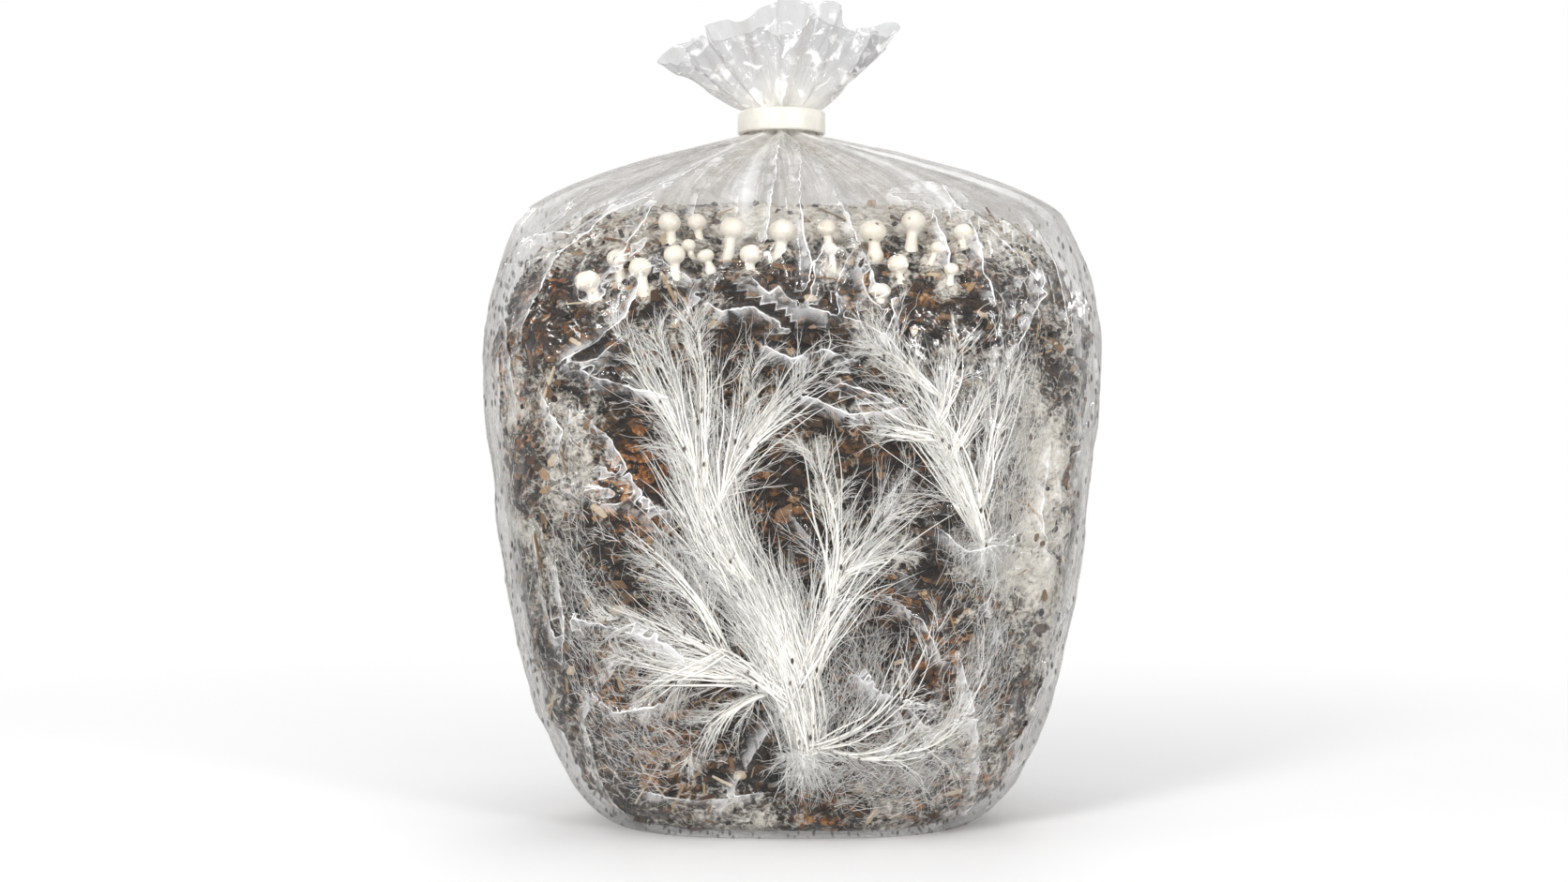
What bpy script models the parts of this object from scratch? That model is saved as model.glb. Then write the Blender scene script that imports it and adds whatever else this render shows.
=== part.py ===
"""A mushroom grow bag: a clear film bag gathered through a plastic collar, round a block of colonised compost
with fans of mycelium on its faces and pin mushrooms on its crown.

Units are metres and +Z is up. The bag stands on its flat base with the origin at the centre of that base, and its
front, the face with the largest fan of mycelium, looks along -Y. Turns round the Z axis are in radians, 0 at the
front and growing towards the right (+X).
"""

import math

import bpy
from mathutils import Vector, noise
from mathutils.bvhtree import BVHTree

# The filled bag's outer sizes
BAG_WIDTH = 0.140
BAG_DEPTH = 0.100
BASE_WIDTH = 0.070
BASE_DEPTH = 0.060
BELLY_HEIGHT = 0.108
SHOULDER_RISE = 0.030
SHOULDER_TUCK = 0.0065
TENT_RISE = 0.022
FILM_WALL = 0.0005

# The collar
COLLAR_HEIGHT = 0.0052
COLLAR_RADIUS = 0.0103
COLLAR_WALL = 0.0016
COLLAR_BEVEL = 0.0005
COLLAR_SHIFT = -0.0025
COLLAR_STEPS = 28

# The film gathered through the collar: its pleats, and the frill above
PLEATS = 11
COLUMNS_PER_PLEAT = 4
SHOULDER_PLEAT_DEPTH = 0.0012
TENT_PLEAT_DEPTH = 0.0050
NECK_PLEAT_DEPTH = 0.0042
PLEAT_UNEVENNESS = 0.3
FRILL_WIDTH = 0.051
FRILL_DEPTH = 0.026
FRILL_RISE = 0.0228
FRILL_DROOP = 0.0085
FRILL_TILT = 0.0024
SCALLOPS = 5
SCALLOP_DEPTH = 0.0012
RUFFLES = 7
RUFFLE_DEPTH = 0.0028

# What lies between the block and the film, from the outside in
RESTING_GAP = 0.0003
FELT_ROOM = 0.0005
FELT_THICKNESS = 0.0011
BASE_GAP = 0.0004

# The block of compost
HEADSPACE = 0.015
CROWN_RISE = 0.033
LUMP_HEIGHT = 0.0026
LUMP_SIZE = 0.011
BLOCK_COLUMNS = 40

# How the pin mushrooms are shaped: shares of the cap's radius, and how far they root in the block
CAP_HEIGHT_SHARE = 1.65
STEM_SHARE = 0.56
PIN_ROOT = 0.003
PIN_STEPS = 7

# How far the mycelium roots in the block, and the length of one step along a branch
MYCELIUM_ROOT = 0.0016
BRANCH_STEP = 0.010

# The face that the branches are laid out on, as half its width, half its depth and its height. They stretch
# with the bag.
FAN_HALF_WIDTH = 0.070
FAN_HALF_DEPTH = 0.050
FAN_HEIGHT = 0.112

# How square each section is: 2 is an ellipse
BASE_SQUARENESS = 3.0
BELLY_SQUARENESS = 3.6
CROWN_SQUARENESS = 2.4
NECK_SQUARENESS = 2.0

# The bend of each outline: a power of the share of the way along it
SWELL_START = 0.4
SWELL_END = 1.6
TUCK_BEND = 2.2
TENT_BEND = 1.65
FLARE_BEND = 0.75
CROWN_SIDE_BEND = 0.15
CROWN_FRONT_BEND = 0.5

# The film's and the block's rows, as shares of each stretch
WALL_ROWS = (0.03, 0.11, 0.27, 0.50, 0.75, 1.0)
SHOULDER_ROWS = (0.50, 0.80, 1.0)
TENT_ROWS = (0.30, 0.56, 0.76, 0.90, 1.0)
FRILL_ROWS = (0.18, 0.42, 0.70, 1.0)
CROWN_ROWS = (0.16, 0.33, 0.50, 0.66, 0.80, 0.91, 0.975)

SHOULDER_HEIGHT = BELLY_HEIGHT + SHOULDER_RISE
COLLAR_BASE = SHOULDER_HEIGHT + TENT_RISE
COLLAR_TOP = COLLAR_BASE + COLLAR_HEIGHT
NECK_RADIUS = COLLAR_RADIUS - COLLAR_WALL - RESTING_GAP
CROWN_TOP = COLLAR_BASE - HEADSPACE
FILL_HEIGHT = CROWN_TOP - CROWN_RISE
BLOCK_BASE = FILM_WALL + BASE_GAP
BLOCK_INSET = FILM_WALL + FELT_ROOM + FELT_THICKNESS + RESTING_GAP
FRONT, RIGHT, BACK, LEFT = 0.0, math.pi / 2, math.pi, 1.5 * math.pi

FILM_COLOUR = (0.90, 0.92, 0.93)
COLLAR_COLOUR = (0.90, 0.88, 0.82)
COMPOST_COLOUR = (0.075, 0.048, 0.032)
MYCELIUM_COLOUR = (0.86, 0.83, 0.77)
PIN_COLOUR = (0.92, 0.88, 0.80)

# Pin mushrooms on the crown of the block. Across and along are shares of the crown's half width and half depth,
# positive to the right and to the front, and lean tips a pin to the right, in degrees.
PINS = (
    # across, along, cap radius, height, lean
    (-0.64, 0.78, 0.0027, 0.0066, -20),
    (-0.56, 0.70, 0.0021, 0.0060, -11),
    (-0.48, 0.78, 0.0024, 0.0076, -10),
    (-0.38, 0.75, 0.0022, 0.0074, -2),
    (-0.40, 0.54, 0.0023, 0.0066, -5),
    (-0.31, 0.51, 0.0020, 0.0058, -6),
    (-0.33, 0.63, 0.0015, 0.0042, -16),
    (-0.21, 0.60, 0.0025, 0.0088, 6),
    (-0.27, 0.69, 0.0018, 0.0042, -20),
    (-0.14, 0.70, 0.0023, 0.0062, 3),
    (-0.04, 0.59, 0.0028, 0.0078, 5),
    (0.12, 0.60, 0.0020, 0.0070, -6),
    (0.13, 0.69, 0.0014, 0.0046, -6),
    (0.27, 0.64, 0.0028, 0.0074, -5),
    (0.35, 0.73, 0.0022, 0.0062, -7),
    (0.39, 0.57, 0.0026, 0.0090, 5),
    (0.45, 0.66, 0.0015, 0.0056, 22),
    (0.56, 0.53, 0.0020, 0.0056, 4),
    (0.28, 0.84, 0.0021, 0.0048, 2),
    (0.51, 0.75, 0.0015, 0.0044, 6),
    (-0.52, -0.50, 0.0024, 0.0066, -8),
    (-0.12, -0.60, 0.0027, 0.0076, 6),
    (0.22, -0.48, 0.0022, 0.0062, -5),
    (0.48, -0.58, 0.0025, 0.0070, 10),
)

# The branches of mycelium on each face. A branch is an arc in the face: it starts at a share of the bag's half
# width or half depth and of the fill height, sets off at a heading, in degrees right of straight up, and bends to
# the right as it goes.
MYCELIUM = {
    "mycelium_front_trunk": (
        FRONT,
        # across, up, heading, length, bend, half width at its root, half width at its tip
        (0.04, 0.17, -2, 0.048, -38, 0.0048, 0.0056),
        (-0.18, 0.55, -33, 0.037, 22, 0.0052, 0.0024),
        (-0.36, 0.80, -24, 0.027, -19, 0.0028, 0.0008),
        (-0.34, 0.76, 15, 0.029, -24, 0.0026, 0.0008),
        (-0.26, 0.64, 20, 0.045, 37, 0.0030, 0.0008),
    ),
    "mycelium_front_left_fork": (
        FRONT,
        (0.00, 0.28, -54, 0.052, -28, 0.0034, 0.0008),
        (-0.21, 0.38, -117, 0.026, -3, 0.0024, 0.0008),
        (-0.21, 0.38, -23, 0.037, -47, 0.0024, 0.0008),
    ),
    "mycelium_front_right_fork": (
        FRONT,
        (0.03, 0.30, 8, 0.053, 42, 0.0036, 0.0008),
        (0.12, 0.48, 5, 0.037, -28, 0.0022, 0.0008),
        (0.16, 0.53, 63, 0.016, 15, 0.0020, 0.0008),
    ),
    "mycelium_front_foot_fork": (
        FRONT,
        (0.05, 0.19, 85, 0.048, -80, 0.0032, 0.0008),
        (0.13, 0.19, 112, 0.052, -100, 0.0024, 0.0008),
    ),
    "mycelium_front_upper_fan": (
        FRONT,
        (0.65, 0.58, -22, 0.053, -18, 0.0034, 0.0010),
        (0.42, 0.90, -58, 0.018, 1, 0.0022, 0.0008),
        (0.45, 0.82, 32, 0.020, -27, 0.0024, 0.0008),
        (0.51, 0.75, 32, 0.020, 0, 0.0022, 0.0008),
    ),
    "mycelium_back_fan": (
        BACK,
        (0.09, 0.18, -11, 0.080, 41, 0.0056, 0.0009),
        (0.04, 0.39, -49, 0.063, 38, 0.0032, 0.0008),
        (0.07, 0.54, -12, 0.042, 0, 0.0026, 0.0008),
        (0.11, 0.59, 80, 0.040, -55, 0.0024, 0.0008),
        (0.03, 0.32, 66, 0.039, 5, 0.0026, 0.0008),
        (0.06, 0.30, -94, 0.039, 44, 0.0024, 0.0008),
    ),
    "mycelium_right_side_fan": (
        RIGHT,
        (-0.08, 0.27, 4, 0.070, 12, 0.0046, 0.0010),
        (-0.04, 0.48, -45, 0.039, 41, 0.0024, 0.0008),
        (0.02, 0.61, 82, 0.027, -58, 0.0024, 0.0008),
    ),
    "mycelium_left_side_fan": (
        LEFT,
        (0.12, 0.23, -17, 0.064, 11, 0.0042, 0.0010),
        (0.02, 0.45, 45, 0.037, -27, 0.0022, 0.0008),
        (-0.06, 0.55, -67, 0.035, 71, 0.0022, 0.0008),
    ),
}
TRUNK = "mycelium_front_trunk"
FORKS = ("mycelium_front_left_fork", "mycelium_front_right_fork", "mycelium_front_foot_fork")


def new_collection(name):
    collection = bpy.data.collections.new(name)
    bpy.context.scene.collection.children.link(collection)
    return collection


def new_material(name, colour, roughness, see_through=0.0):
    material = bpy.data.materials.new(name)
    material.use_nodes = True
    shader = material.node_tree.nodes["Principled BSDF"]
    shader.inputs["Base Color"].default_value = (*colour, 1)
    shader.inputs["Roughness"].default_value = roughness
    shader.inputs["Transmission Weight"].default_value = see_through
    return material


def new_object(name, mesh, collection, material):
    obj = bpy.data.objects.new(name, mesh)
    collection.objects.link(obj)
    mesh.materials.append(material)
    return obj


def blend(start, end, share):
    return start + (end - start) * share


def section_point(turn, half_width, half_depth, squareness, height):
    """A point on a rounded-square section. Its corners are at odd multiples of 45 degrees of turn."""
    across, along = math.sin(turn), math.cos(turn)
    reach = (abs(across) ** squareness + abs(along) ** squareness) ** (-1 / squareness)
    return Vector((half_width * reach * across, -half_depth * reach * along, height))


def drawn_in(point, depth):
    """A point moved straight towards the Z axis."""
    outward = Vector((point.x, point.y, 0)).normalized()
    return point - depth * outward


def wall_section(height):
    """(half width, half depth, squareness) of the film's outside between the base and the belly."""
    share = max(height, 0) / BELLY_HEIGHT
    swell = (1 - (1 - share) ** SWELL_END) ** SWELL_START
    half_width = blend(BASE_WIDTH, BAG_WIDTH, swell) / 2
    half_depth = blend(BASE_DEPTH, BAG_DEPTH, swell) / 2
    return half_width, half_depth, blend(BASE_SQUARENESS, BELLY_SQUARENESS, share)


def shoulder_section(height):
    """The same between the belly and the shoulder."""
    share = (height - BELLY_HEIGHT) / SHOULDER_RISE
    tuck = SHOULDER_TUCK * share**TUCK_BEND
    return BAG_WIDTH / 2 - tuck, BAG_DEPTH / 2 - tuck, blend(BELLY_SQUARENESS, BASE_SQUARENESS, share)


def tent_section(height):
    """The same between the shoulder and the collar, where it closes to the neck and stays as wide above."""
    share = min(1, (height - SHOULDER_HEIGHT) / (TENT_RISE - RESTING_GAP))
    half_width, half_depth, _ = shoulder_section(SHOULDER_HEIGHT)
    half_width = blend(half_width, NECK_RADIUS, share**TENT_BEND)
    half_depth = blend(half_depth, NECK_RADIUS, share**TENT_BEND)
    return half_width, half_depth, blend(BASE_SQUARENESS, NECK_SQUARENESS, share)


def film_section(height):
    if height <= BELLY_HEIGHT:
        return wall_section(height)
    if height <= SHOULDER_HEIGHT:
        return shoulder_section(height)
    return tent_section(height)


def pleat_depth(height):
    """How deep the pleats are at a height: they start at the belly and run up into the neck."""
    if height <= SHOULDER_HEIGHT:
        share = max(0, height - BELLY_HEIGHT) / SHOULDER_RISE
        return SHOULDER_PLEAT_DEPTH * share**2
    share = min(1, (height - SHOULDER_HEIGHT) / TENT_RISE)
    if share < 0.5:
        return blend(SHOULDER_PLEAT_DEPTH, TENT_PLEAT_DEPTH, 2 * share)
    return blend(TENT_PLEAT_DEPTH, NECK_PLEAT_DEPTH, 2 * share - 1)


def in_pleat(column):
    """How far into its pleat a column of the film lies: 0 on a ridge and 1 in a valley."""
    place = column % COLUMNS_PER_PLEAT / COLUMNS_PER_PLEAT
    return 1 - abs(2 * place - 1)


def film_ring(height):
    """One row of the film's outside, from the base to the top of the collar."""
    to_collar = min(1, max(0, height - SHOULDER_HEIGHT) / TENT_RISE)
    columns = PLEATS * COLUMNS_PER_PLEAT
    ring = []
    for column in range(columns):
        pleat = column // COLUMNS_PER_PLEAT
        strength = 1 + PLEAT_UNEVENNESS * (1 - to_collar) * math.sin(2.4 * pleat + 0.7)
        place = section_point(math.tau * column / columns, *film_section(height), height)
        place = drawn_in(place, pleat_depth(height) * strength * in_pleat(column))
        ring.append(place + Vector((COLLAR_SHIFT * to_collar, 0, 0)))
    return ring


def frill_ring(share):
    """One row of the frill above the collar: 0 at the collar's top and 1 at the mouth's edge."""
    half_width = blend(NECK_RADIUS, FRILL_WIDTH / 2, share**FLARE_BEND)
    half_depth = blend(NECK_RADIUS, FRILL_DEPTH / 2, share)
    columns = PLEATS * COLUMNS_PER_PLEAT
    ring = []
    for column in range(columns):
        turn = math.tau * column / columns
        rise = FRILL_RISE - FRILL_DROOP * math.sin(turn) ** 2 + FRILL_TILT * math.sin(turn)
        rise += SCALLOP_DEPTH * math.sin(SCALLOPS * turn + 1)
        height = COLLAR_TOP + RESTING_GAP + rise * share
        pleat = NECK_PLEAT_DEPTH * (1 - share) ** 1.5 * in_pleat(column)
        ruffle = RUFFLE_DEPTH * share * math.cos(RUFFLES * turn + 0.6)
        place = section_point(turn, half_width, half_depth, NECK_SQUARENESS, height)
        ring.append(drawn_in(place, pleat + ruffle) + Vector((COLLAR_SHIFT, 0, 0)))
    return ring


def film_rows():
    """The heights of the film's rows, from the base's edge to the top of the collar."""
    walls = [BELLY_HEIGHT * share for share in WALL_ROWS]
    shoulders = [blend(BELLY_HEIGHT, SHOULDER_HEIGHT, share) for share in SHOULDER_ROWS]
    tent = [blend(SHOULDER_HEIGHT, COLLAR_BASE - RESTING_GAP, share) for share in TENT_ROWS]
    return [0, *walls, *shoulders, *tent, COLLAR_BASE + COLLAR_HEIGHT / 2, COLLAR_TOP + RESTING_GAP]


def loft(name, rings, foot, crown=None):
    """A skin over rings of equal count, from the bottom up, closed to the point foot and, if given, to crown."""
    count = len(rings[0])
    points = [point for ring in rings for point in ring]
    faces = []
    for row in range(len(rings) - 1):
        for column in range(count):
            following = (column + 1) % count
            low, high = row * count, (row + 1) * count
            faces.append((low + column, low + following, high + following, high + column))
    points.append(foot)
    faces += [(len(points) - 1, (column + 1) % count, column) for column in range(count)]
    if crown is not None:
        points.append(crown)
        top = (len(rings) - 1) * count
        faces += [(len(points) - 1, top + column, top + (column + 1) % count) for column in range(count)]
    mesh = bpy.data.meshes.new(name)
    mesh.from_pydata(points, [], faces)
    mesh.shade_smooth()
    return mesh


def make_film_bag(collection, material):
    """One sheet of film, open at its mouth, which is gathered through the collar and flares into a frill."""
    rings = [film_ring(height) for height in film_rows()]
    rings += [frill_ring(share) for share in FRILL_ROWS]
    bag = new_object("film_bag", loft("film_bag", rings, foot=Vector()), collection, material)
    wall = bag.modifiers.new("film wall", "SOLIDIFY")
    wall.thickness = FILM_WALL
    wall.offset = -1
    return bag


def turned(name, profile, steps, collection, material):
    """A solid of revolution, from its profile in the XZ plane. The profile runs down the outer side."""
    mesh = bpy.data.meshes.new(name)
    points = [(radius, 0, height) for radius, height in profile]
    mesh.from_pydata(points, [(i, i + 1) for i in range(len(points) - 1)], [])
    obj = new_object(name, mesh, collection, material)
    screw = obj.modifiers.new("turned", "SCREW")
    screw.steps = screw.render_steps = steps
    screw.use_merge_vertices = True
    screw.merge_threshold = 0.00001
    screw.use_smooth_shade = True
    return obj


def make_collar(collection, material):
    """The moulded ring that the bag's neck is drawn through."""
    inner, outer, bevel = COLLAR_RADIUS - COLLAR_WALL, COLLAR_RADIUS, COLLAR_BEVEL
    profile = (
        (inner + bevel, COLLAR_TOP),
        (outer - bevel, COLLAR_TOP),
        (outer, COLLAR_TOP - bevel),
        (outer, COLLAR_BASE + bevel),
        (outer - bevel, COLLAR_BASE),
        (inner + bevel, COLLAR_BASE),
        (inner, COLLAR_BASE + bevel),
        (inner, COLLAR_TOP - bevel),
    )
    collar = turned("collar_ring", profile + profile[:1], COLLAR_STEPS, collection, material)
    collar.location.x = COLLAR_SHIFT
    return collar


def block_section(height):
    """(half width, half depth, squareness) of the block's walls at a height."""
    half_width, half_depth, squareness = film_section(height - BLOCK_BASE)
    return half_width - BLOCK_INSET, half_depth - BLOCK_INSET, squareness


def crown_section(share):
    """The same for its crown, from 0 at the fill height to 1 at the top: full to the sides, domed to the front."""
    half_width, half_depth, squareness = block_section(FILL_HEIGHT)
    half_width *= (1 - share**2) ** CROWN_SIDE_BEND
    half_depth *= (1 - share) ** CROWN_FRONT_BEND
    return half_width, half_depth, blend(squareness, CROWN_SQUARENESS, share)


def lump_depth(point):
    """How far the block is drawn in at a point: nothing on the highest lumps, LUMP_HEIGHT in the deepest pits."""
    rough = noise.fractal(point / LUMP_SIZE, 0.6, 2.0, 3)
    return LUMP_HEIGHT * min(1, max(0, 0.5 - 0.8 * rough))


def block_ring(section, height):
    """One row of the block, with its lumps."""
    ring = []
    for column in range(BLOCK_COLUMNS):
        place = section_point(math.tau * column / BLOCK_COLUMNS, *section, height)
        ring.append(drawn_in(place, lump_depth(place)))
    return ring


def make_block(collection, material):
    """The block of compost: walls just inside the film, a domed and lumpy crown, and a flat base."""
    rises = [0, *(share * FILL_HEIGHT for share in WALL_ROWS[:-1]), FILL_HEIGHT - BLOCK_BASE]
    rings = [block_ring(block_section(BLOCK_BASE + rise), BLOCK_BASE + rise) for rise in rises]
    for share in CROWN_ROWS:
        ring = block_ring(crown_section(share), blend(FILL_HEIGHT, CROWN_TOP, share))
        rings.append([point - Vector((0, 0, lump_depth(1.3 * point))) for point in ring])
    foot, crown = Vector((0, 0, BLOCK_BASE)), Vector((0, 0, CROWN_TOP - LUMP_HEIGHT / 2))
    block = new_object("compost_block", loft("compost_block", rings, foot, crown), collection, material)
    block.modifiers.new("facets", "TRIANGULATE")
    return block


def room_around(obj, collection):
    """A cutter: a copy of a solid that stands out from it by the resting gap."""
    room = obj.copy()
    room.name = obj.name + "_room"
    collection.objects.link(room)
    gap = room.modifiers.new("gap", "DISPLACE")
    gap.strength = RESTING_GAP
    gap.mid_level = 0
    room.hide_render = True
    room.display_type = "WIRE"
    return room


def seat_on(obj, room):
    """Cuts a solid back to the resting gap from what it grows on."""
    cut = obj.modifiers.new("seat on " + room.name, "BOOLEAN")
    cut.operation = "DIFFERENCE"
    cut.object = room
    cut.use_self = True


def faces_of(obj):
    """The faces of a finished solid, to find places on it."""
    return BVHTree.FromObject(obj, bpy.context.evaluated_depsgraph_get())


def under_film(film, across, height, depth, facing):
    """A point at a depth inside the film, given by its place across the face that looks along facing."""
    half_width, half_depth, _ = film_section(height)
    bearing = facing + math.atan2(across, half_width if facing in (RIGHT, LEFT) else half_depth)
    outward = Vector((math.sin(bearing), -math.cos(bearing), 0))
    inside, _, _, _ = film.ray_cast(Vector((0, 0, height)), outward)
    return inside - depth * outward


def branch_rings(branch, facing, film):
    """The five-sided sections along one branch, which is pressed flat between the block and the film."""
    across, up, heading, length, bend, root, tip = branch
    on_side = facing in (RIGHT, LEFT)
    half_face = (BAG_DEPTH if on_side else BAG_WIDTH) / 2
    stretch = half_face / (FAN_HALF_DEPTH if on_side else FAN_HALF_WIDTH)
    lift = FILL_HEIGHT / FAN_HEIGHT
    across *= half_face
    height = up * FILL_HEIGHT
    edge = FELT_ROOM + 0.8 * FELT_THICKNESS
    deep = BLOCK_INSET + LUMP_HEIGHT + MYCELIUM_ROOT
    outline = ((-1, edge), (0, FELT_ROOM), (1, edge), (0.7, deep), (-0.7, deep))
    steps = max(3, round(length / BRANCH_STEP))
    rings = []
    for step in range(steps + 1):
        share = step / steps
        along = math.radians(heading + bend * share)
        half = blend(root, tip, share)
        right, drop = half * math.cos(along), half * math.sin(along)
        rings.append([under_film(film, across + right * w, height - drop * w, d, facing) for w, d in outline])
        across += stretch * length / steps * math.sin(along)
        height += lift * length / steps * math.cos(along)
    return rings


def tube(rings, start):
    """The faces of a closed tube through rings of points, whose first point has the index start."""
    sides = len(rings[0])
    faces = []
    for row in range(len(rings) - 1):
        low, high = start + row * sides, start + (row + 1) * sides
        for side in range(sides):
            following = (side + 1) % sides
            faces.append((low + side, high + side, high + following, low + following))
    last = start + (len(rings) - 1) * sides
    faces.append([start + side for side in range(sides)])
    faces.append([last + side for side in reversed(range(sides))])
    return faces


def make_mycelium(name, film, rooms, collection, material):
    """One fan or fork of mycelium, in one mesh, seated on the block and clear of the fork before it."""
    facing, *branches = MYCELIUM[name]
    points, faces = [], []
    for branch in branches:
        rings = branch_rings(branch, facing, film)
        faces += tube(rings, len(points))
        points += [point for ring in rings for point in ring]
    mesh = bpy.data.meshes.new(name)
    mesh.from_pydata(points, [], faces)
    fan = new_object(name, mesh, collection, material)
    for room in rooms:
        seat_on(fan, room)
    return fan


def pin_profile(cap, height):
    """Half the outline of a young mushroom, from the top of its cap down to its root."""
    stem = STEM_SHARE * cap
    brim = max(0.35 * height, height - CAP_HEIGHT_SHARE * cap)
    middle = blend(brim, height, 0.45)
    return (
        (0, height),
        (0.62 * cap, blend(middle, height, 0.8)),
        (cap, middle),
        (0.8 * cap, blend(brim, middle, 0.25)),
        (stem, brim),
        (1.3 * stem, -PIN_ROOT),
        (0, -PIN_ROOT),
    )


def make_pins(block, room, collection, material):
    """Stands each pin on the crown, at its shares of the crown's size. Its cap and stem are one growth."""
    crown = faces_of(block)
    half_width, half_depth, _ = block_section(FILL_HEIGHT)
    for number, (across, along, cap, height, lean) in enumerate(PINS, start=1):
        above = Vector((across * half_width, -along * half_depth, COLLAR_BASE))
        place, _, _, _ = crown.ray_cast(above, Vector((0, 0, -1)))
        profile = pin_profile(cap, height)
        pin = turned(f"pin_mushroom_{number:02d}", profile, PIN_STEPS, collection, material)
        pin.location = place
        pin.rotation_euler = (0, math.radians(lean), math.radians(3 * lean))
        seat_on(pin, room)


def main():
    for obj in list(bpy.data.objects):
        bpy.data.objects.remove(obj)
    parts = new_collection("mushroom_grow_bag")
    cutters = new_collection("cutters")
    film = new_material("clear_film", FILM_COLOUR, 0.08, see_through=1.0)
    plastic = new_material("ivory_plastic", COLLAR_COLOUR, 0.35)
    compost = new_material("compost", COMPOST_COLOUR, 0.85)
    felt = new_material("mycelium_felt", MYCELIUM_COLOUR, 0.8)
    flesh = new_material("pin_flesh", PIN_COLOUR, 0.45)

    bag = make_film_bag(parts, film)
    make_collar(parts, plastic)
    block = make_block(parts, compost)
    block_room = room_around(block, cutters)
    make_pins(block, block_room, parts, flesh)

    inside = faces_of(bag)
    trunk = make_mycelium(TRUNK, inside, [block_room], parts, felt)
    trunk_room = room_around(trunk, cutters)
    for name in MYCELIUM:
        if name in FORKS:
            make_mycelium(name, inside, [block_room, trunk_room], parts, felt)
        elif name != TRUNK:
            make_mycelium(name, inside, [block_room], parts, felt)


main()
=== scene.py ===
"""The looks of a mushroom grow bag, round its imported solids.

A clear film bag is gathered through a plastic collar. It holds a block of dark compost with straw and wood bits,
fans of white mycelium pressed between block and film, and young pin mushrooms on the crown. Units are metres, +Z is
up and the front looks along -Y. A turn round the Z axis is in radians, 0 at the front and growing to the right.
"""

from __future__ import annotations

import logging
import math
from collections.abc import Callable
from dataclasses import dataclass, field
from enum import Enum

import bpy
import numpy as np
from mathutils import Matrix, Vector, noise
from mathutils.bvhtree import BVHTree


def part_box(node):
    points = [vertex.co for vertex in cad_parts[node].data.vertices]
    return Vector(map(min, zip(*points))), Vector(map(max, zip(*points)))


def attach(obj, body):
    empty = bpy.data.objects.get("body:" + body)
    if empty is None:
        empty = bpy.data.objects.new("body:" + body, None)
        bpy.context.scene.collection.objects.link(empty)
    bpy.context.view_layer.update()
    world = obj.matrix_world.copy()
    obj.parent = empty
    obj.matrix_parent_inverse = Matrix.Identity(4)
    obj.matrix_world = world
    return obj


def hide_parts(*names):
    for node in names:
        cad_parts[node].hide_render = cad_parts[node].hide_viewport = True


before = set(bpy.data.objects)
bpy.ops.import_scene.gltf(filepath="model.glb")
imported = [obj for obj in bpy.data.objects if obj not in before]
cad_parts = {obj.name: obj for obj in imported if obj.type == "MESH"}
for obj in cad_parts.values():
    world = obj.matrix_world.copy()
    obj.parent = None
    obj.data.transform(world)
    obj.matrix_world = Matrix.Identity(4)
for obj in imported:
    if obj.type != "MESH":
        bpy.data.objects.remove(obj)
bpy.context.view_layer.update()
log = logging.getLogger("grow_bag")
BODY = "root"
MM = 0.001
FIRST_SEED = 100

Array = np.ndarray
Number = float | Array
Triple = tuple[float, float, float]
Stops = tuple[tuple[float, Triple], ...]
Piece = bpy.types.Object
Material = bpy.types.Material
Node = bpy.types.Node
Socket = bpy.types.NodeSocket


class Facing(Enum):
    """The face of the bag that a growth lies on, as the turn that it looks along."""

    FRONT = 0.0
    RIGHT = math.pi / 2
    BACK = math.pi
    LEFT = 1.5 * math.pi

    @property
    def on_side(self) -> bool:
        """Whether the face is one of the two narrow ones."""
        return self in (Facing.RIGHT, Facing.LEFT)


def blend(start: Number, end: Number, share: Number) -> Number:
    """The value or values at a share of the way from start to end, where share is a number or an array."""
    return start + (end - start) * share


def clamped(value: float) -> float:
    """The number, kept between 0 and 1."""
    return min(1.0, max(0.0, value))


def deselect_all() -> None:
    """Leaves no object selected and none being edited."""
    if bpy.context.mode != "OBJECT":
        bpy.ops.object.mode_set(mode="OBJECT")
    bpy.ops.object.select_all(action="DESELECT")


def choose(piece: Piece) -> None:
    """Makes one piece the active and only chosen one."""
    deselect_all()
    bpy.context.view_layer.objects.active = piece
    piece.select_set(True)


def in_edit_mode(piece: Piece) -> None:
    """Opens one piece in edit mode, all of it selected."""
    choose(piece)
    bpy.ops.object.mode_set(mode="EDIT")
    bpy.ops.mesh.select_all(action="SELECT")


def dress(piece: Piece, material: Material, slot: str, *nodes: str) -> None:
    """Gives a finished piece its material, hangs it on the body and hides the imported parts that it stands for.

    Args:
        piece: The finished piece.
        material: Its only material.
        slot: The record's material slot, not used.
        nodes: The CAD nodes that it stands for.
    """
    piece.data.materials.clear()
    piece.data.materials.append(material)
    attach(piece, BODY)
    if nodes:
        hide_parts(*nodes)
    log.info("%s: %d faces", piece.name, len(piece.data.polygons))


def mark(mesh: bpy.types.Mesh, name: str, values: Array) -> None:
    """Keeps a number for each point of a mesh, as its attribute."""
    mesh.attributes.new(name, "FLOAT", "POINT").data.foreach_set("value", values)


def away_from_axis(places: Array) -> Array:
    """The level direction away from the Z axis, at each point of an array of shape (..., 3)."""
    outward = places * (1, 1, 0)
    return outward / np.maximum(np.linalg.norm(outward, axis=-1, keepdims=True), 1e-12)


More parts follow.
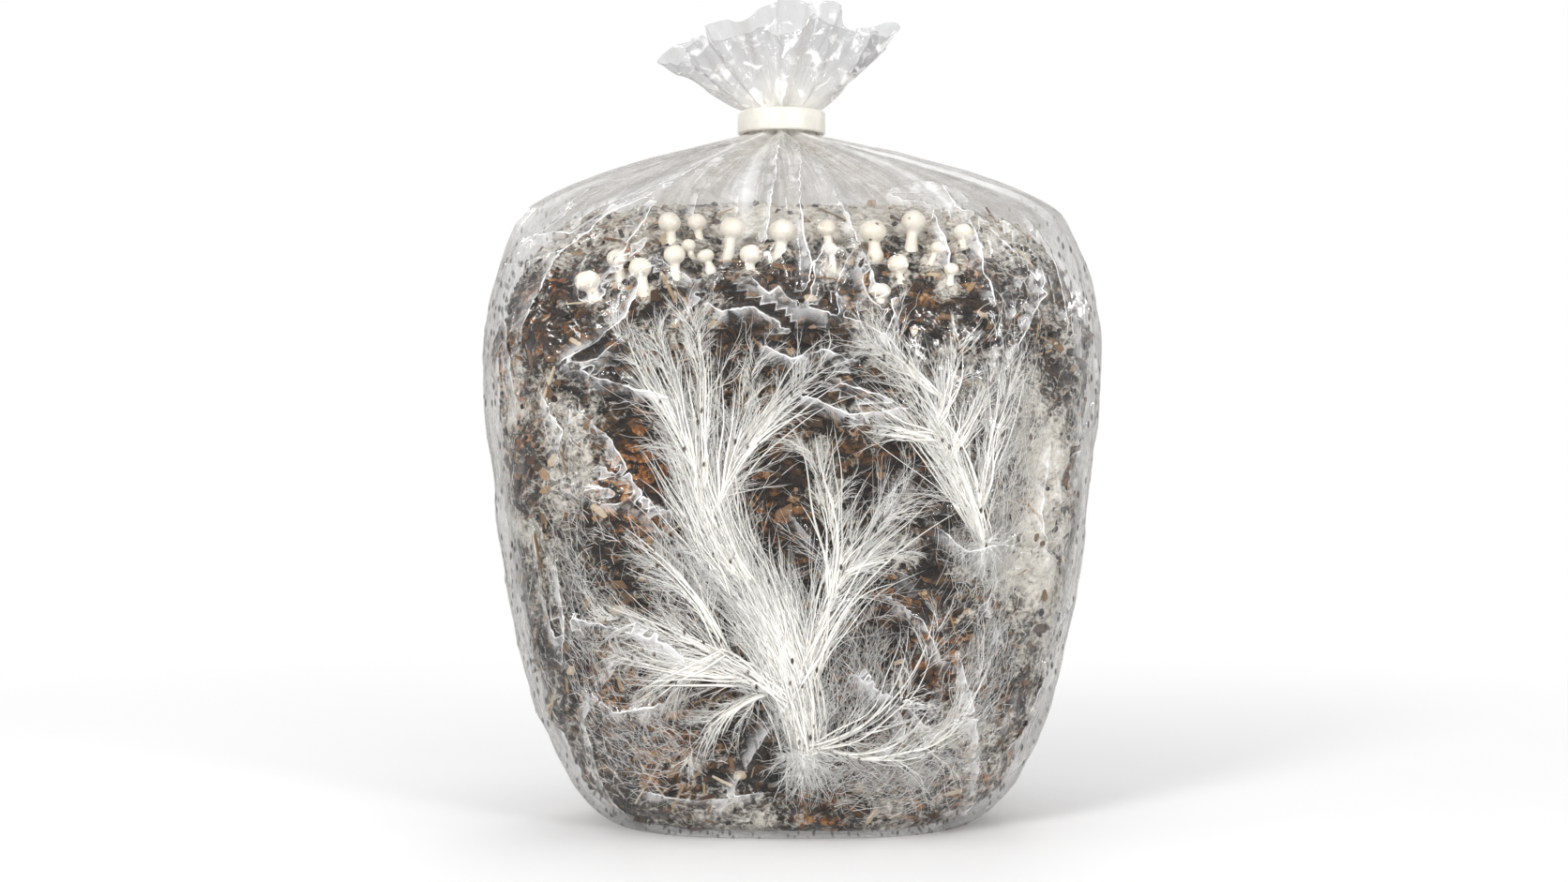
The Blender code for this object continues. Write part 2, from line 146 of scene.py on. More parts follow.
def sheet_over(name: str, places: Array, marks: dict[str, Array] | None = None) -> Piece:
    """Models a skin from a grid primitive that is wrapped round the Z axis.

    Args:
        name: The piece's name.
        places: Points of shape (rows, columns + 1, 3), whose last column lies on the first.
        marks: Values of shape (rows, columns + 1) to keep as the skin's attributes.

    Returns:
        The piece, its seam and its poles closed, with a UV map of (column, row) shares.
    """
    rows, columns = places.shape[0], places.shape[1]
    deselect_all()
    bpy.ops.mesh.primitive_grid_add(x_subdivisions=columns - 1, y_subdivisions=rows - 1, size=2)
    piece = bpy.context.active_object
    piece.name = piece.data.name = name
    count = len(piece.data.vertices)
    flat = np.empty(count * 3)
    piece.data.vertices.foreach_get("co", flat)
    flat = flat.reshape(-1, 3)
    column = np.rint((flat[:, 0] + 1) / 2 * (columns - 1)).astype(int)
    row = np.rint((flat[:, 1] + 1) / 2 * (rows - 1)).astype(int)
    piece.data.vertices.foreach_set("co", places[row, column].ravel())
    for key, values in (marks or {}).items():
        mark(piece.data, key, values[row, column])
    in_edit_mode(piece)
    bpy.ops.mesh.remove_doubles(threshold=1e-7)
    bpy.ops.object.mode_set(mode="OBJECT")
    piece.data.shade_smooth()
    piece.data.update()
    return piece


def grid_normals(places: Array) -> Array:
    """The outward normals of a wrapped grid of points.

    Args:
        places: Points of shape (rows, columns + 1, 3), rows from the bottom up.

    Returns:
        Unit normals of the same shape.
    """
    ring = places[:, :-1]
    across = np.roll(ring, -1, axis=1) - np.roll(ring, 1, axis=1)
    along = np.gradient(ring, axis=0)
    normals = np.cross(across, along)
    length = np.linalg.norm(normals, axis=2, keepdims=True)
    flat = np.array([0.0, 0.0, -1.0])
    normals = np.where(length > 1e-14, normals / np.maximum(length, 1e-14), flat)
    return np.concatenate([normals, normals[:, :1]], axis=1)


def field_of(places: Array, function: Callable[[Vector], float]) -> Array:
    """A function of place, at each point of an array of shape (..., 3)."""
    flat = places.reshape(-1, 3)
    values = np.fromiter((function(Vector(point)) for point in flat), float, len(flat))
    return values.reshape(places.shape[:-1])


@dataclass(frozen=True)
class BagForm:
    """The outline of the filled bag, from its base through the collar to the frill."""

    width: float = 0.140
    depth: float = 0.100
    base_width: float = 0.070
    base_depth: float = 0.060
    belly: float = 0.108
    shoulder_rise: float = 0.030
    shoulder_tuck: float = 0.0065
    tent_rise: float = 0.022
    collar_height: float = 0.0052
    collar_radius: float = 0.0103
    collar_wall: float = 0.0016
    collar_shift: float = -0.0025
    gap: float = 0.0003
    pleats: int = 11
    frill_width: float = 0.051
    frill_depth: float = 0.026
    frill_rise: float = 0.0228
    inset: float = 0.0024
    headspace: float = 0.015
    crown_rise: float = 0.033

    @property
    def shoulder(self) -> float:
        """The height at which the tent of film starts."""
        return self.belly + self.shoulder_rise

    @property
    def collar_base(self) -> float:
        """The height of the collar's underside."""
        return self.shoulder + self.tent_rise

    @property
    def collar_top(self) -> float:
        """The height of the collar's upper side."""
        return self.collar_base + self.collar_height

    @property
    def neck(self) -> float:
        """The radius of the gathered film in the collar."""
        return self.collar_radius - self.collar_wall - self.gap

    @property
    def crown_top(self) -> float:
        """The highest point of the compost."""
        return self.collar_base - self.headspace

    @property
    def fill(self) -> float:
        """The height at which the walls of the compost turn into its crown."""
        return self.crown_top - self.crown_rise

    def section(self, height: Array) -> tuple[Array, Array, Array]:
        """The film's outside at some heights.

        Args:
            height: Heights, from the base to the collar.

        Returns:
            Half widths, half depths and squareness, where 2 is an ellipse.
        """
        height = np.asarray(height, float)
        share = np.clip(height / self.belly, 0, 1)
        swell = (1 - (1 - share) ** 1.6) ** 0.4
        half_width = blend(self.base_width, self.width, swell) / 2
        half_depth = blend(self.base_depth, self.depth, swell) / 2
        square = blend(3.0, 3.6, share)
        rise = np.clip((height - self.belly) / self.shoulder_rise, 0, 1)
        tuck = self.shoulder_tuck * rise**2.2
        half_width, half_depth = half_width - tuck, half_depth - tuck
        square = np.where(height > self.belly, blend(3.6, 3.0, rise), square)
        close = np.clip((height - self.shoulder) / (self.tent_rise - self.gap), 0, 1)
        half_width = blend(half_width, self.neck, close**1.65)
        half_depth = blend(half_depth, self.neck, close**1.65)
        square = np.where(height > self.shoulder, blend(3.0, 2.0, close), square)
        return half_width, half_depth, square

    def around(
        self, turn: Array, half_width: Number, half_depth: Number, square: Number, height: Number
    ) -> Array:
        """Points on rounded-square sections.

        Args:
            turn: Turns round the Z axis.
            half_width: Half widths of the sections.
            half_depth: Half depths of the sections.
            square: How square each one is.
            height: Its height.

        Returns:
            Points of shape (..., 3).
        """
        across, along = np.sin(turn), np.cos(turn)
        reach = (np.abs(across) ** square + np.abs(along) ** square) ** (-1 / square)
        x, y, z = np.broadcast_arrays(half_width * reach * across, -half_depth * reach * along, height)
        return np.stack([x, y, z], axis=-1)

    def on_face(self, facing: Facing, across: Array, height: Array, depth: Array) -> Array:
        """Points under the film, given on one face.

        Args:
            facing: The face.
            across: How far to the right on it, in metres.
            height: How high.
            depth: How far inside the film's outer skin.

        Returns:
            Points of shape (..., 3).
        """
        half_width, half_depth, square = self.section(height)
        bearing = facing.value + np.arctan2(across, half_width if facing.on_side else half_depth)
        half_width, half_depth = half_width - depth, half_depth - depth
        sine, cosine = np.sin(bearing), np.cos(bearing)
        reach = np.abs(sine / half_width) ** square + np.abs(cosine / half_depth) ** square
        reach = reach ** (-1 / square)
        return np.stack([reach * sine, -reach * cosine, np.asarray(height, float) + 0 * reach], axis=-1)


FORM = BagForm()


class Wire:
    """A value on its way through a node tree, which can be reckoned with."""

    def __init__(self, bench: Bench, socket: Socket) -> None:
        """Keeps the socket that puts the value out, and its bench."""
        self.bench, self.socket = bench, socket

    def __add__(self, other: Wire | float) -> Wire:
        """The sum."""
        return self.bench.math("ADD", self, other)

    def __sub__(self, other: Wire | float) -> Wire:
        """The difference."""
        return self.bench.math("SUBTRACT", self, other)

    def __rsub__(self, other: Wire | float) -> Wire:
        """A number less this value."""
        return self.bench.math("SUBTRACT", other, self)

    def __mul__(self, other: Wire | float) -> Wire:
        """The product."""
        return self.bench.math("MULTIPLY", self, other)

    def __truediv__(self, other: Wire | float) -> Wire:
        """The quotient."""
        return self.bench.math("DIVIDE", self, other)

    def __pow__(self, other: Wire | float) -> Wire:
        """The power."""
        return self.bench.math("POWER", self, other)

    def __abs__(self) -> Wire:
        """The value without its sign."""
        return self.bench.math("ABSOLUTE", self)

    def clamped(self) -> Wire:
        """The value, kept between 0 and 1."""
        return self.bench.math("ADD", self, 0.0, clamp=True)


Feed = Wire | Socket | float | tuple[float, ...]


class Bench:
    """Adds and links the nodes of one node tree."""

    def __init__(self, tree: bpy.types.NodeTree) -> None:
        """Keeps a material's, world's or group's tree."""
        self.tree = tree

    def feed(self, socket: Socket, value: Feed) -> None:
        """Links a wire or socket to an input, or sets the input's plain value."""
        value = value.socket if isinstance(value, Wire) else value
        if isinstance(value, Socket):
            self.tree.links.new(value, socket)
        else:
            socket.default_value = value

    def fill(self, node: Node, inputs: dict[str | int, Feed]) -> None:
        """Feeds several inputs of a node, by name or index."""
        for name, value in inputs.items():
            self.feed(node.inputs[name], value)

    def add(self, kind: str, inputs: dict[str | int, Feed] | None = None, **settings: object) -> Node:
        """Adds a node.

        Args:
            kind: Blender's type name.
            inputs: Values, wires or sockets for its inputs, by name or index.
            settings: Its own settings.

        Returns:
            The node.
        """
        node = self.tree.nodes.new(kind)
        for name, value in settings.items():
            setattr(node, name, value)
        self.fill(node, inputs or {})
        return node

    def wire(
        self, kind: str, inputs: dict[str | int, Feed] | None = None, output: int | str = 0, **settings: object
    ) -> Wire:
        """Adds a node and takes one of its outputs.

        Args:
            kind: Blender's type name.
            inputs: Values, wires or sockets for its inputs, by name or index.
            output: The output's name or index.
            settings: Its own settings.

        Returns:
            The output's value.
        """
        return Wire(self, self.add(kind, inputs, **settings).outputs[output])

    def math(self, operation: str, first: Feed, second: Feed = 0.0, clamp: bool = False) -> Wire:
        """One sum on two values, kept between 0 and 1 where clamp says so."""
        return self.wire("ShaderNodeMath", {0: first, 1: second}, operation=operation, use_clamp=clamp)

    def mix(self, share: Feed, first: Feed, second: Feed, blend_type: str = "MIX") -> Wire:
        """A colour between two.

        Args:
            share: How much of the second one.
            first: A wire, or three numbers.
            second: A wire, or three numbers.
            blend_type: How they are put together.

        Returns:
            The colour.
        """
        first, second = (colour if isinstance(colour, Wire) else (*colour, 1.0) for colour in (first, second))
        inputs = {0: share, 6: first, 7: second}
        return self.wire("ShaderNodeMix", inputs, 2, data_type="RGBA", blend_type=blend_type)

    def coats(self, colour: Feed, *coats: tuple[Feed, Feed]) -> Wire:
        """Lays colours over a first one, each given as (share, colour)."""
        for share, coat in coats:
            colour = self.mix(share, colour, coat)
        return colour

    def ramp(self, share: Feed, stops: Stops) -> Wire:
        """A colour ramp.

        Args:
            share: The value that picks the colour.
            stops: Places and linear colours.

        Returns:
            The colour.
        """
        node = self.add("ShaderNodeValToRGB", {"Fac": share})
        elements = node.color_ramp.elements
        while len(elements) < len(stops):
            elements.new(0.5)
        for element, (place, colour) in zip(elements, stops):
            element.position = place
            element.color = (*colour, 1.0)
        return Wire(self, node.outputs["Color"])

    def between(self, value: Feed, low: float, high: float, start: float = 0.0, end: float = 1.0) -> Wire:
        """Maps a value from low..high to start..end, and clamps it."""
        return self.wire("ShaderNodeMapRange", {0: value, 1: low, 2: high, 3: start, 4: end})

    def place(self) -> Wire:
        """The object's own coordinates, in metres."""
        return self.wire("ShaderNodeTexCoord", output="Object")

    def attribute(self, name: str) -> Wire:
        """One of the piece's attributes."""
        return self.wire("ShaderNodeAttribute", output="Fac", attribute_name=name)

    def stretch(self, vector: Feed, scale: tuple[float, ...], turn: tuple[float, ...] = (0.0, 0.0, 0.0)) -> Wire:
        """Coordinates that are scaled and turned."""
        return self.wire("ShaderNodeMapping", {"Vector": vector, "Scale": scale, "Rotation": turn})

    def noise(self, vector: Feed, scale: float, detail: float = 4.0, rough: float = 0.55, warp: float = 0.0) -> Wire:
        """Smooth noise.

        Args:
            vector: Where it is read.
            scale: Waves for each metre.
            detail: Octaves.
            rough: How strong the fine ones are.
            warp: How far it is distorted.

        Returns:
            Its value, 0 to 1.
        """
        inputs = {"Vector": vector, "Scale": scale, "Detail": detail, "Roughness": rough, "Distortion": warp}
        return self.wire("ShaderNodeTexNoise", inputs)

    def bump(self, height: Feed, distance: float, strength: float) -> Wire:
        """A bump normal from a height of 0 to 1, whose full relief is distance metres."""
        return self.wire("ShaderNodeBump", {"Strength": strength, "Distance": distance, "Height": height})

    def looked_at(self) -> Wire:
        """1 for the rays that only look: from the camera, off a gloss or through something clear."""
        path = self.add("ShaderNodeLightPath").outputs
        return (Wire(self, path["Is Camera Ray"]) + path["Is Glossy Ray"] + path["Is Transmission Ray"]).clamped()

    def surface(self, shader: Wire | Socket) -> None:
        """Puts out a shader as the material's surface."""
        self.feed(self.tree.nodes["Material Output"].inputs["Surface"], shader)


def new_group(name: str, inputs: dict[str, float], output: str) -> tuple[Bench, dict, Socket]:
    """Starts a shader node group that puts out one number.

    Args:
        name: Its name.
        inputs: Its number inputs and their defaults, after a Vector input.
        output: The output's name.

    Returns:
        A bench for its tree, its input sockets by name, and the socket to feed.
    """
    tree = bpy.data.node_groups.new(name, "ShaderNodeTree")
    tree.interface.new_socket("Vector", in_out="INPUT", socket_type="NodeSocketVector")
    for key, value in inputs.items():
        tree.interface.new_socket(key, in_out="INPUT", socket_type="NodeSocketFloat").default_value = value
    tree.interface.new_socket(output, in_out="OUTPUT", socket_type="NodeSocketFloat")
    bench = Bench(tree)
    entry, leave = bench.add("NodeGroupInput"), bench.add("NodeGroupOutput")
    return bench, dict(entry.outputs.items()), leave.inputs[output]


def specks_group() -> bpy.types.NodeTree:
    """Makes a group that scatters small round specks, for mycelium, pins and film.

    Returns:
        The group, with a mask that is 1 on a speck.
    """
    bench, given, put = new_group("scattered_specks", {"Scale": 600.0, "Share": 0.1}, "Mask")
    cell = bench.add("ShaderNodeTexVoronoi", {"Vector": given["Vector"], "Scale": given["Scale"]})
    chance = bench.wire("ShaderNodeSeparateColor", {0: cell.outputs["Color"]})
    chosen = bench.math("LESS_THAN", chance, given["Share"])
    bench.feed(put, chosen * bench.between(cell.outputs["Distance"], 0.38, 0.22))
    return bench.tree


def mottle_group() -> bpy.types.NodeTree:
    """Makes a group of uneven tone at two sizes, for the film, plastic, mycelium and flesh finishes.

    Returns:
        The group, with a tone of 0 to 1 about 0.5.
    """
    bench, given, put = new_group("uneven_tone", {"Coarse": 60.0, "Fine": 500.0}, "Tone")
    coarse, fine = (
        bench.wire("ShaderNodeTexNoise", {"Vector": given["Vector"], "Scale": given[size], "Detail": detail})
        for size, detail in (("Coarse", 3.0), ("Fine", 4.0))
    )
    bench.feed(put, bench.between(coarse + fine, 0.7, 1.3))
    return bench.tree


@dataclass(frozen=True)
class Finish:
    """A base for the finishes: a named material whose shader is a Principled BSDF."""

    name: str
    colour: Triple
    roughness: float = 0.5
    groups: dict[str, bpy.types.NodeTree] = field(default_factory=dict)

    def start(self) -> tuple[Material, Bench, Node]:
        """Makes the material.

        Returns:
            The material, a bench for its tree and its shader.
        """
        material = bpy.data.materials.new(self.name)
        material.use_nodes = True
        bench, shader = Bench(material.node_tree), material.node_tree.nodes["Principled BSDF"]
        bench.fill(shader, {"Base Color": (*self.colour, 1), "Roughness": self.roughness})
        return material, bench, shader

    def group(self, bench: Bench, name: str, place: Wire, **values: float) -> Wire:
        """Places a shared group, which reads place and has these values, and takes its output."""
        return bench.wire("ShaderNodeGroup", {"Vector": place, **values}, node_tree=self.groups[name])


@dataclass(frozen=True)
class FilmFinish(Finish):
    """Clear polythene film: thin, glossy and crumpled, greyer and milkier where it is gathered, with painted highlights
    and painted shade on its folds, pleats and outline.
    """

    ior: float = 1.27
    most_mirror: float = 0.18

    def make(self) -> Material:
        """Makes the material.

        Returns:
            A clear material whose inner skin is left plain, so that each wall of film is seen once.
        """
        material, bench, shader = self.start()
        between, noise_at = bench.between, bench.noise
        place, sheet = bench.place(), bench.wire("ShaderNodeUVMap")
        names = ("loose", "gather", "near", "gap", "frill", "pleat")
        loose, gather, near, gap, frill, pleat = (bench.attribute(name) for name in names)

        # Relief: streaks along the film, crumples and creases
        streak = noise_at(bench.stretch(sheet, (48.0, 3.0, 1.0)), 1.0, 2.0, 0.55, 0.3)
        crumple = noise_at(place, 85.0, 2.5, 0.5, 1.4)
        waver = gap + between(noise_at(place, 260.0, 2.0), 0.25, 0.75, -0.45, 0.45)
        ridge = between(abs(waver), 1.1, 0.0)
        normal = bench.bump(streak * (loose * 0.5) + crumple * 0.9 + ridge * (near * 0.8), 0.0009, 0.8)
        mirror = bench.wire("ShaderNodeFresnel", {"IOR": self.ior, "Normal": normal})
        mirror = bench.math("MINIMUM", mirror, self.most_mirror)
        # edge: how far the film turns away from the camera, used below to paint grey shade at its outline and on its
        # creases
        edge = bench.wire("ShaderNodeLayerWeight", {"Blend": 0.35, "Normal": normal}, "Facing") ** 1.35
        tone = self.group(bench, "tone", place, Coarse=120.0, Fine=420.0)

        # Painted highlights: the white line of a crease, and a lit facet beside it, broken into patches
        broken = between(crumple + tone * 0.3, 0.50, 0.68, 0.30, 1.0)
        thin = between(noise_at(place, 75.0, 2.0), 0.35, 0.65, 0.05, 0.27)
        fold = (1.0 - abs(waver) / thin).clamped() ** 0.5 * broken * between(near, 0.35, 0.85)
        beside = bench.math("GREATER_THAN", waver, 0.0) * between(waver, 3.2, 0.4) * between(near, 0.0, 0.5)
        facet_highlight_patches = between(noise_at(place, 150.0, 3.0, 0.6, 1.3), 0.44, 0.56, 0.03, 0.36)

        # Painted highlights and shade: white streaks and lighter and darker bands on the tent, white blotches on the
        # frill; and specks of compost at the film's outline
        painted_streak_highlights = between(abs(streak - 0.5), 0.07, 0.0) * between(frill, 0.0, 1.0, 1.0, 0.35)
        band = noise_at(bench.stretch(sheet, (24.0, 0.9, 1.0)), 1.0, 1.0, 0.5, 0.2)
        # painted shade: darker bands where the tent folds
        shade = between(band, 0.48, 0.36, 0.0, 0.7) * loose
        # painted highlight: broad white bands on the tent
        shine = between(band, 0.56, 0.66) * (loose - frill).clamped()
        painted_frill_highlights = between(noise_at(place, 230.0, 2.0, 0.5, 0.9), 0.56, 0.66) * frill
        # painted light and shade on the pleats near the collar: whiter on their ridges than in their grooves
        drawn = between(pleat, 0.0, 1.0, 0.75, 0.25) * between(frill, 0.0, 1.0, 1.0, 0.5)
        dirt = self.group(bench, "specks", bench.stretch(place, (1.3, 0.12, 0.5)), Scale=700.0, Share=0.50)
        dirt = dirt * between(edge, 0.05, 0.35, 0.0, 0.85) * (1.0 - loose)

        # What the film lets through, greyer with painted shade in bands, pleat grooves and at grazing angles, and how
        # much of it is clouded, partly the film's real haze and partly painted highlight
        greyer = (loose * between(tone, 0.0, 1.0, 0.30, 1.0) + edge).clamped()
        tint_and_painted_shade = bench.coats(
            (0.970, 0.972, 0.976),
            (greyer, (0.79, 0.785, 0.775)),
            # painted shade: dark grey where the film turns away from the camera
            (edge * edge, (0.42, 0.41, 0.395)),
            (shade, (0.68, 0.665, 0.64)),
            (gather, (0.84, 0.82, 0.785)),
            # painted shade: darker beige in the pleat grooves
            (pleat * 0.85, (0.66, 0.615, 0.56)),
        )
        tint_and_painted_shade = bench.mix(frill, tint_and_painted_shade, (0.86, 0.865, 0.875), "MULTIPLY")
        tint_and_painted_shade = bench.mix(dirt, tint_and_painted_shade, (0.05, 0.035, 0.025))
        milk_and_painted_highlights = loose * 0.045 + 0.004 + painted_streak_highlights * loose * 0.18 + shine * 0.62 + painted_frill_highlights * 0.55
        milk_and_painted_highlights = milk_and_painted_highlights + gather * drawn + pleat * 0.06 + fold * 0.85 + beside * facet_highlight_patches
        milk_and_painted_highlights = (milk_and_painted_highlights + edge * between(tone, 0.2, 0.9, 0.10, 0.55)).clamped() * (1.0 - dirt)
        # The clouded part's colour, greyer at grazing angles as painted shade and beige where the film is gathered
        pale = bench.mix(tone, (0.80, 0.80, 0.80), (0.95, 0.95, 0.95))
        pale = bench.coats(pale, (edge, (0.60, 0.585, 0.56)), (gather, (0.74, 0.725, 0.69)))
        bench.fill(shader, {"Base Color": pale, "Roughness": between(tone, 0.0, 1.0, 0.3, 0.5)})

        through = bench.wire("ShaderNodeBsdfTransparent", {"Color": tint_and_painted_shade})
        cloudy = bench.wire("ShaderNodeMixShader", {0: milk_and_painted_highlights, 1: through, 2: shader.outputs[0]})
        gloss = bench.wire("ShaderNodeBsdfAnisotropic", {"Color": (1, 1, 1, 1), "Roughness": 0.09, "Normal": normal})
        film = bench.wire("ShaderNodeMixShader", {0: mirror, 1: cloudy, 2: gloss})
        open_way = bench.wire("ShaderNodeBsdfTransparent", {"Color": (1, 1, 1, 1)})
        inner = bench.wire("ShaderNodeNewGeometry", output="Backfacing")
        wall = bench.wire("ShaderNodeMixShader", {0: inner, 1: film, 2: open_way})
        clear = bench.wire("ShaderNodeBsdfTransparent", {"Color": (0.98, 0.98, 0.98, 1)})
        is_shadow = bench.wire("ShaderNodeLightPath", output="Is Shadow Ray")
        bench.surface(bench.wire("ShaderNodeMixShader", {0: is_shadow, 1: wall, 2: clear}))
        return material


@dataclass(frozen=True)
class PlasticFinish(Finish):
    """Moulded ivory plastic with a satin skin."""

    def make(self) -> Material:
        """Makes the material.

        Returns:
            A satin plastic with faint flow marks and a shine that is softer in places.
        """
        material, bench, shader = self.start()
        place = bench.place()
        tone = self.group(bench, "tone", place, Coarse=90.0, Fine=900.0)
        inputs = {
            "Base Color": bench.mix(tone, (0.62, 0.595, 0.53), (0.70, 0.68, 0.615)),
            "Roughness": bench.between(tone, 0.0, 1.0, 0.30, 0.46),
            "Normal": bench.bump(bench.noise(place, 2600.0, 2.0), 0.00004, 0.5),
            "Subsurface Weight": 0.15,
            "Subsurface Radius": (0.0012, 0.001, 0.0008),
            "Subsurface Scale": 1.0,
        }
        bench.fill(shader, inputs)
        return material


@dataclass(frozen=True)
class CompostFinish(Finish):
    """Damp compost of dark crumbs and fibre, with white growth in and on it."""

    soil: Stops = (
        (0.00, (0.003, 0.0025, 0.002)), (0.34, (0.007, 0.005, 0.004)), (0.52, (0.016, 0.010, 0.007)),
        (0.66, (0.040, 0.024, 0.014)), (0.78, (0.108, 0.058, 0.025)), (0.88, (0.230, 0.120, 0.050)),
        (0.96, (0.400, 0.280, 0.170)),
    )

    def make(self) -> Material:
        """Makes the material.

        Returns:
            A dark crumbly material that turns white where the piece's attribute "growth" says.
        """
        material, bench, shader = self.start()
        between, noise_at = bench.between, bench.noise
        place = bench.place()
        long = bench.stretch(place, (1.0, 1.0, 1.7), (0.4, 0.3, 0.2))
        bits = bench.add("ShaderNodeTexVoronoi", {"Vector": long, "Scale": 420.0})
        grains = bench.add("ShaderNodeTexVoronoi", {"Vector": place, "Scale": 1300.0})
        bit_tone = bench.wire("ShaderNodeSeparateColor", {0: bits.outputs["Color"]}, 0)
        grain_tone = bench.wire("ShaderNodeSeparateColor", {0: grains.outputs["Color"]}, 1)
        patch = between(noise_at(place, 45.0, 3.0), 0.3, 0.7, -0.04, 0.25)
        warm = between(noise_at(place, 24.0, 2.0), 0.47, 0.60)
        soil = bench.ramp(bit_tone * 0.52 + grain_tone * 0.28 + patch + warm * 0.07, self.soil)
        soil = bench.mix(warm, soil, (1.0, 0.70, 0.42), "MULTIPLY")
        threads = between(noise_at(place, 330.0, 6.0, 0.75, 1.2), 0.3, 0.7, -0.62, 0.16)
        web = between(abs(noise_at(place, 230.0, 2.0, 0.5, 0.8) - 0.5), 0.07, 0.0, 0.0, 0.34)
        fine_web = between(abs(noise_at(long, 620.0, 1.0) - 0.5), 0.09, 0.0, 0.0, 0.2)
        veil = between(bench.attribute("growth") + threads + web + fine_web, 0.25, 0.85)
        white = bench.mix(noise_at(place, 900.0, 3.0), (0.38, 0.34, 0.28), (0.80, 0.77, 0.70))
        relief = Wire(bench, bits.outputs["Distance"]) * 0.8 + noise_at(place, 700.0, 5.0)
        inputs = {
            "Base Color": bench.mix(veil, soil, white),
            "Specular IOR Level": 0.16,
            "Roughness": between(grain_tone, 0.0, 1.0, 0.42, 0.9),
            "Normal": bench.bump(relief, 0.0009, 0.9),
        }
        bench.fill(shader, inputs)
        return material


@dataclass(frozen=True)
class BitsFinish(Finish):
    """Loose bits in the compost: crumbs, bark, straw and chips, each with a tone of its own."""

    tones: Stops = (
        (0.05, (0.008, 0.006, 0.005)), (0.30, (0.022, 0.013, 0.008)), (0.48, (0.070, 0.036, 0.018)),
        (0.60, (0.165, 0.092, 0.043)), (0.72, (0.270, 0.165, 0.085)), (0.84, (0.430, 0.320, 0.200)),
        (0.97, (0.620, 0.540, 0.410)),
    )

    def make(self) -> Material:
        """Makes the material.

        Returns:
            A material that takes each bit's colour from the piece's attribute "tone".
        """
        material, bench, shader = self.start()
        grain = bench.noise(bench.place(), 1500.0, 4.0, 0.7)
        pick = bench.attribute("tone") + bench.between(grain, 0.3, 0.7, -0.05, 0.05)
        inputs = {
            "Base Color": bench.ramp(pick, self.tones),
            "Specular IOR Level": 0.2,
            "Roughness": bench.between(grain, 0.3, 0.7, 0.4, 0.85),
            "Normal": bench.bump(grain, 0.0003, 0.8),
        }
        bench.fill(shader, inputs)
        return material


@dataclass(frozen=True)
class MyceliumFinish(Finish):
    """White fungal threads, cream where they run together and greyer at their tips."""

    tones: Stops = (
        (0.0, (0.95, 0.92, 0.85)), (0.35, (0.90, 0.89, 0.86)), (0.7, (0.70, 0.69, 0.67)), (1.0, (0.40, 0.385, 0.36)),
    )

    def make(self) -> Material:
        """Makes the material.

        Returns:
            A soft white material, darker where the piece's attribute "tone" is high.
        """
        material, bench, shader = self.start()
        place = bench.place()
        uneven = self.group(bench, "tone", place, Coarse=150.0, Fine=900.0)
        colour = bench.ramp(bench.attribute("tone") + bench.between(uneven, 0.0, 1.0, -0.12, 0.12), self.tones)
        dashes = bench.stretch(place, (1.0, 1.0, 0.5), (0, 0.3, 0))
        speck = self.group(bench, "specks", dashes, Scale=850.0, Share=0.08)
        inputs = {
            "Base Color": bench.mix(speck, colour, (0.08, 0.05, 0.03)),
            "Specular IOR Level": 0.2,
            "Roughness": bench.between(uneven, 0.0, 1.0, 0.6, 0.85),
            "Normal": bench.bump(bench.noise(place, 2400.0, 3.0), 0.0001, 0.6),
        }
        bench.fill(shader, inputs)
        return material


@dataclass(frozen=True)
class FleshFinish(Finish):
    """The cream flesh of young mushrooms."""

    def make(self) -> Material:
        """Makes the material.

        Returns:
            A soft, slightly translucent cream with darker specks and a powdery skin.
        """
        material, bench, shader = self.start()
        place = bench.place()
        tone = self.group(bench, "tone", place, Coarse=260.0, Fine=1500.0)
        cream = bench.mix(tone, (0.72, 0.65, 0.53), (0.87, 0.835, 0.76))
        speck = self.group(bench, "specks", place, Scale=700.0, Share=0.07)
        inputs = {
            "Base Color": bench.mix(speck, cream, (0.20, 0.12, 0.06)),
            "Roughness": bench.between(tone, 0.0, 1.0, 0.42, 0.62),
            "Normal": bench.bump(bench.noise(place, 1800.0, 3.0), 0.00012, 0.6),
            "Subsurface Weight": 0.25,
            "Subsurface Radius": (0.0015, 0.0011, 0.0007),
            "Subsurface Scale": 1.0,
        }
        bench.fill(shader, inputs)
        return material


@dataclass(frozen=True)
class Crease:
    """A fold line that stands out of the film: points of (turn in degrees, height in mm), then its sizes in mm."""

    points: tuple[tuple[float, float], ...]
    lift: float
    half_width: float


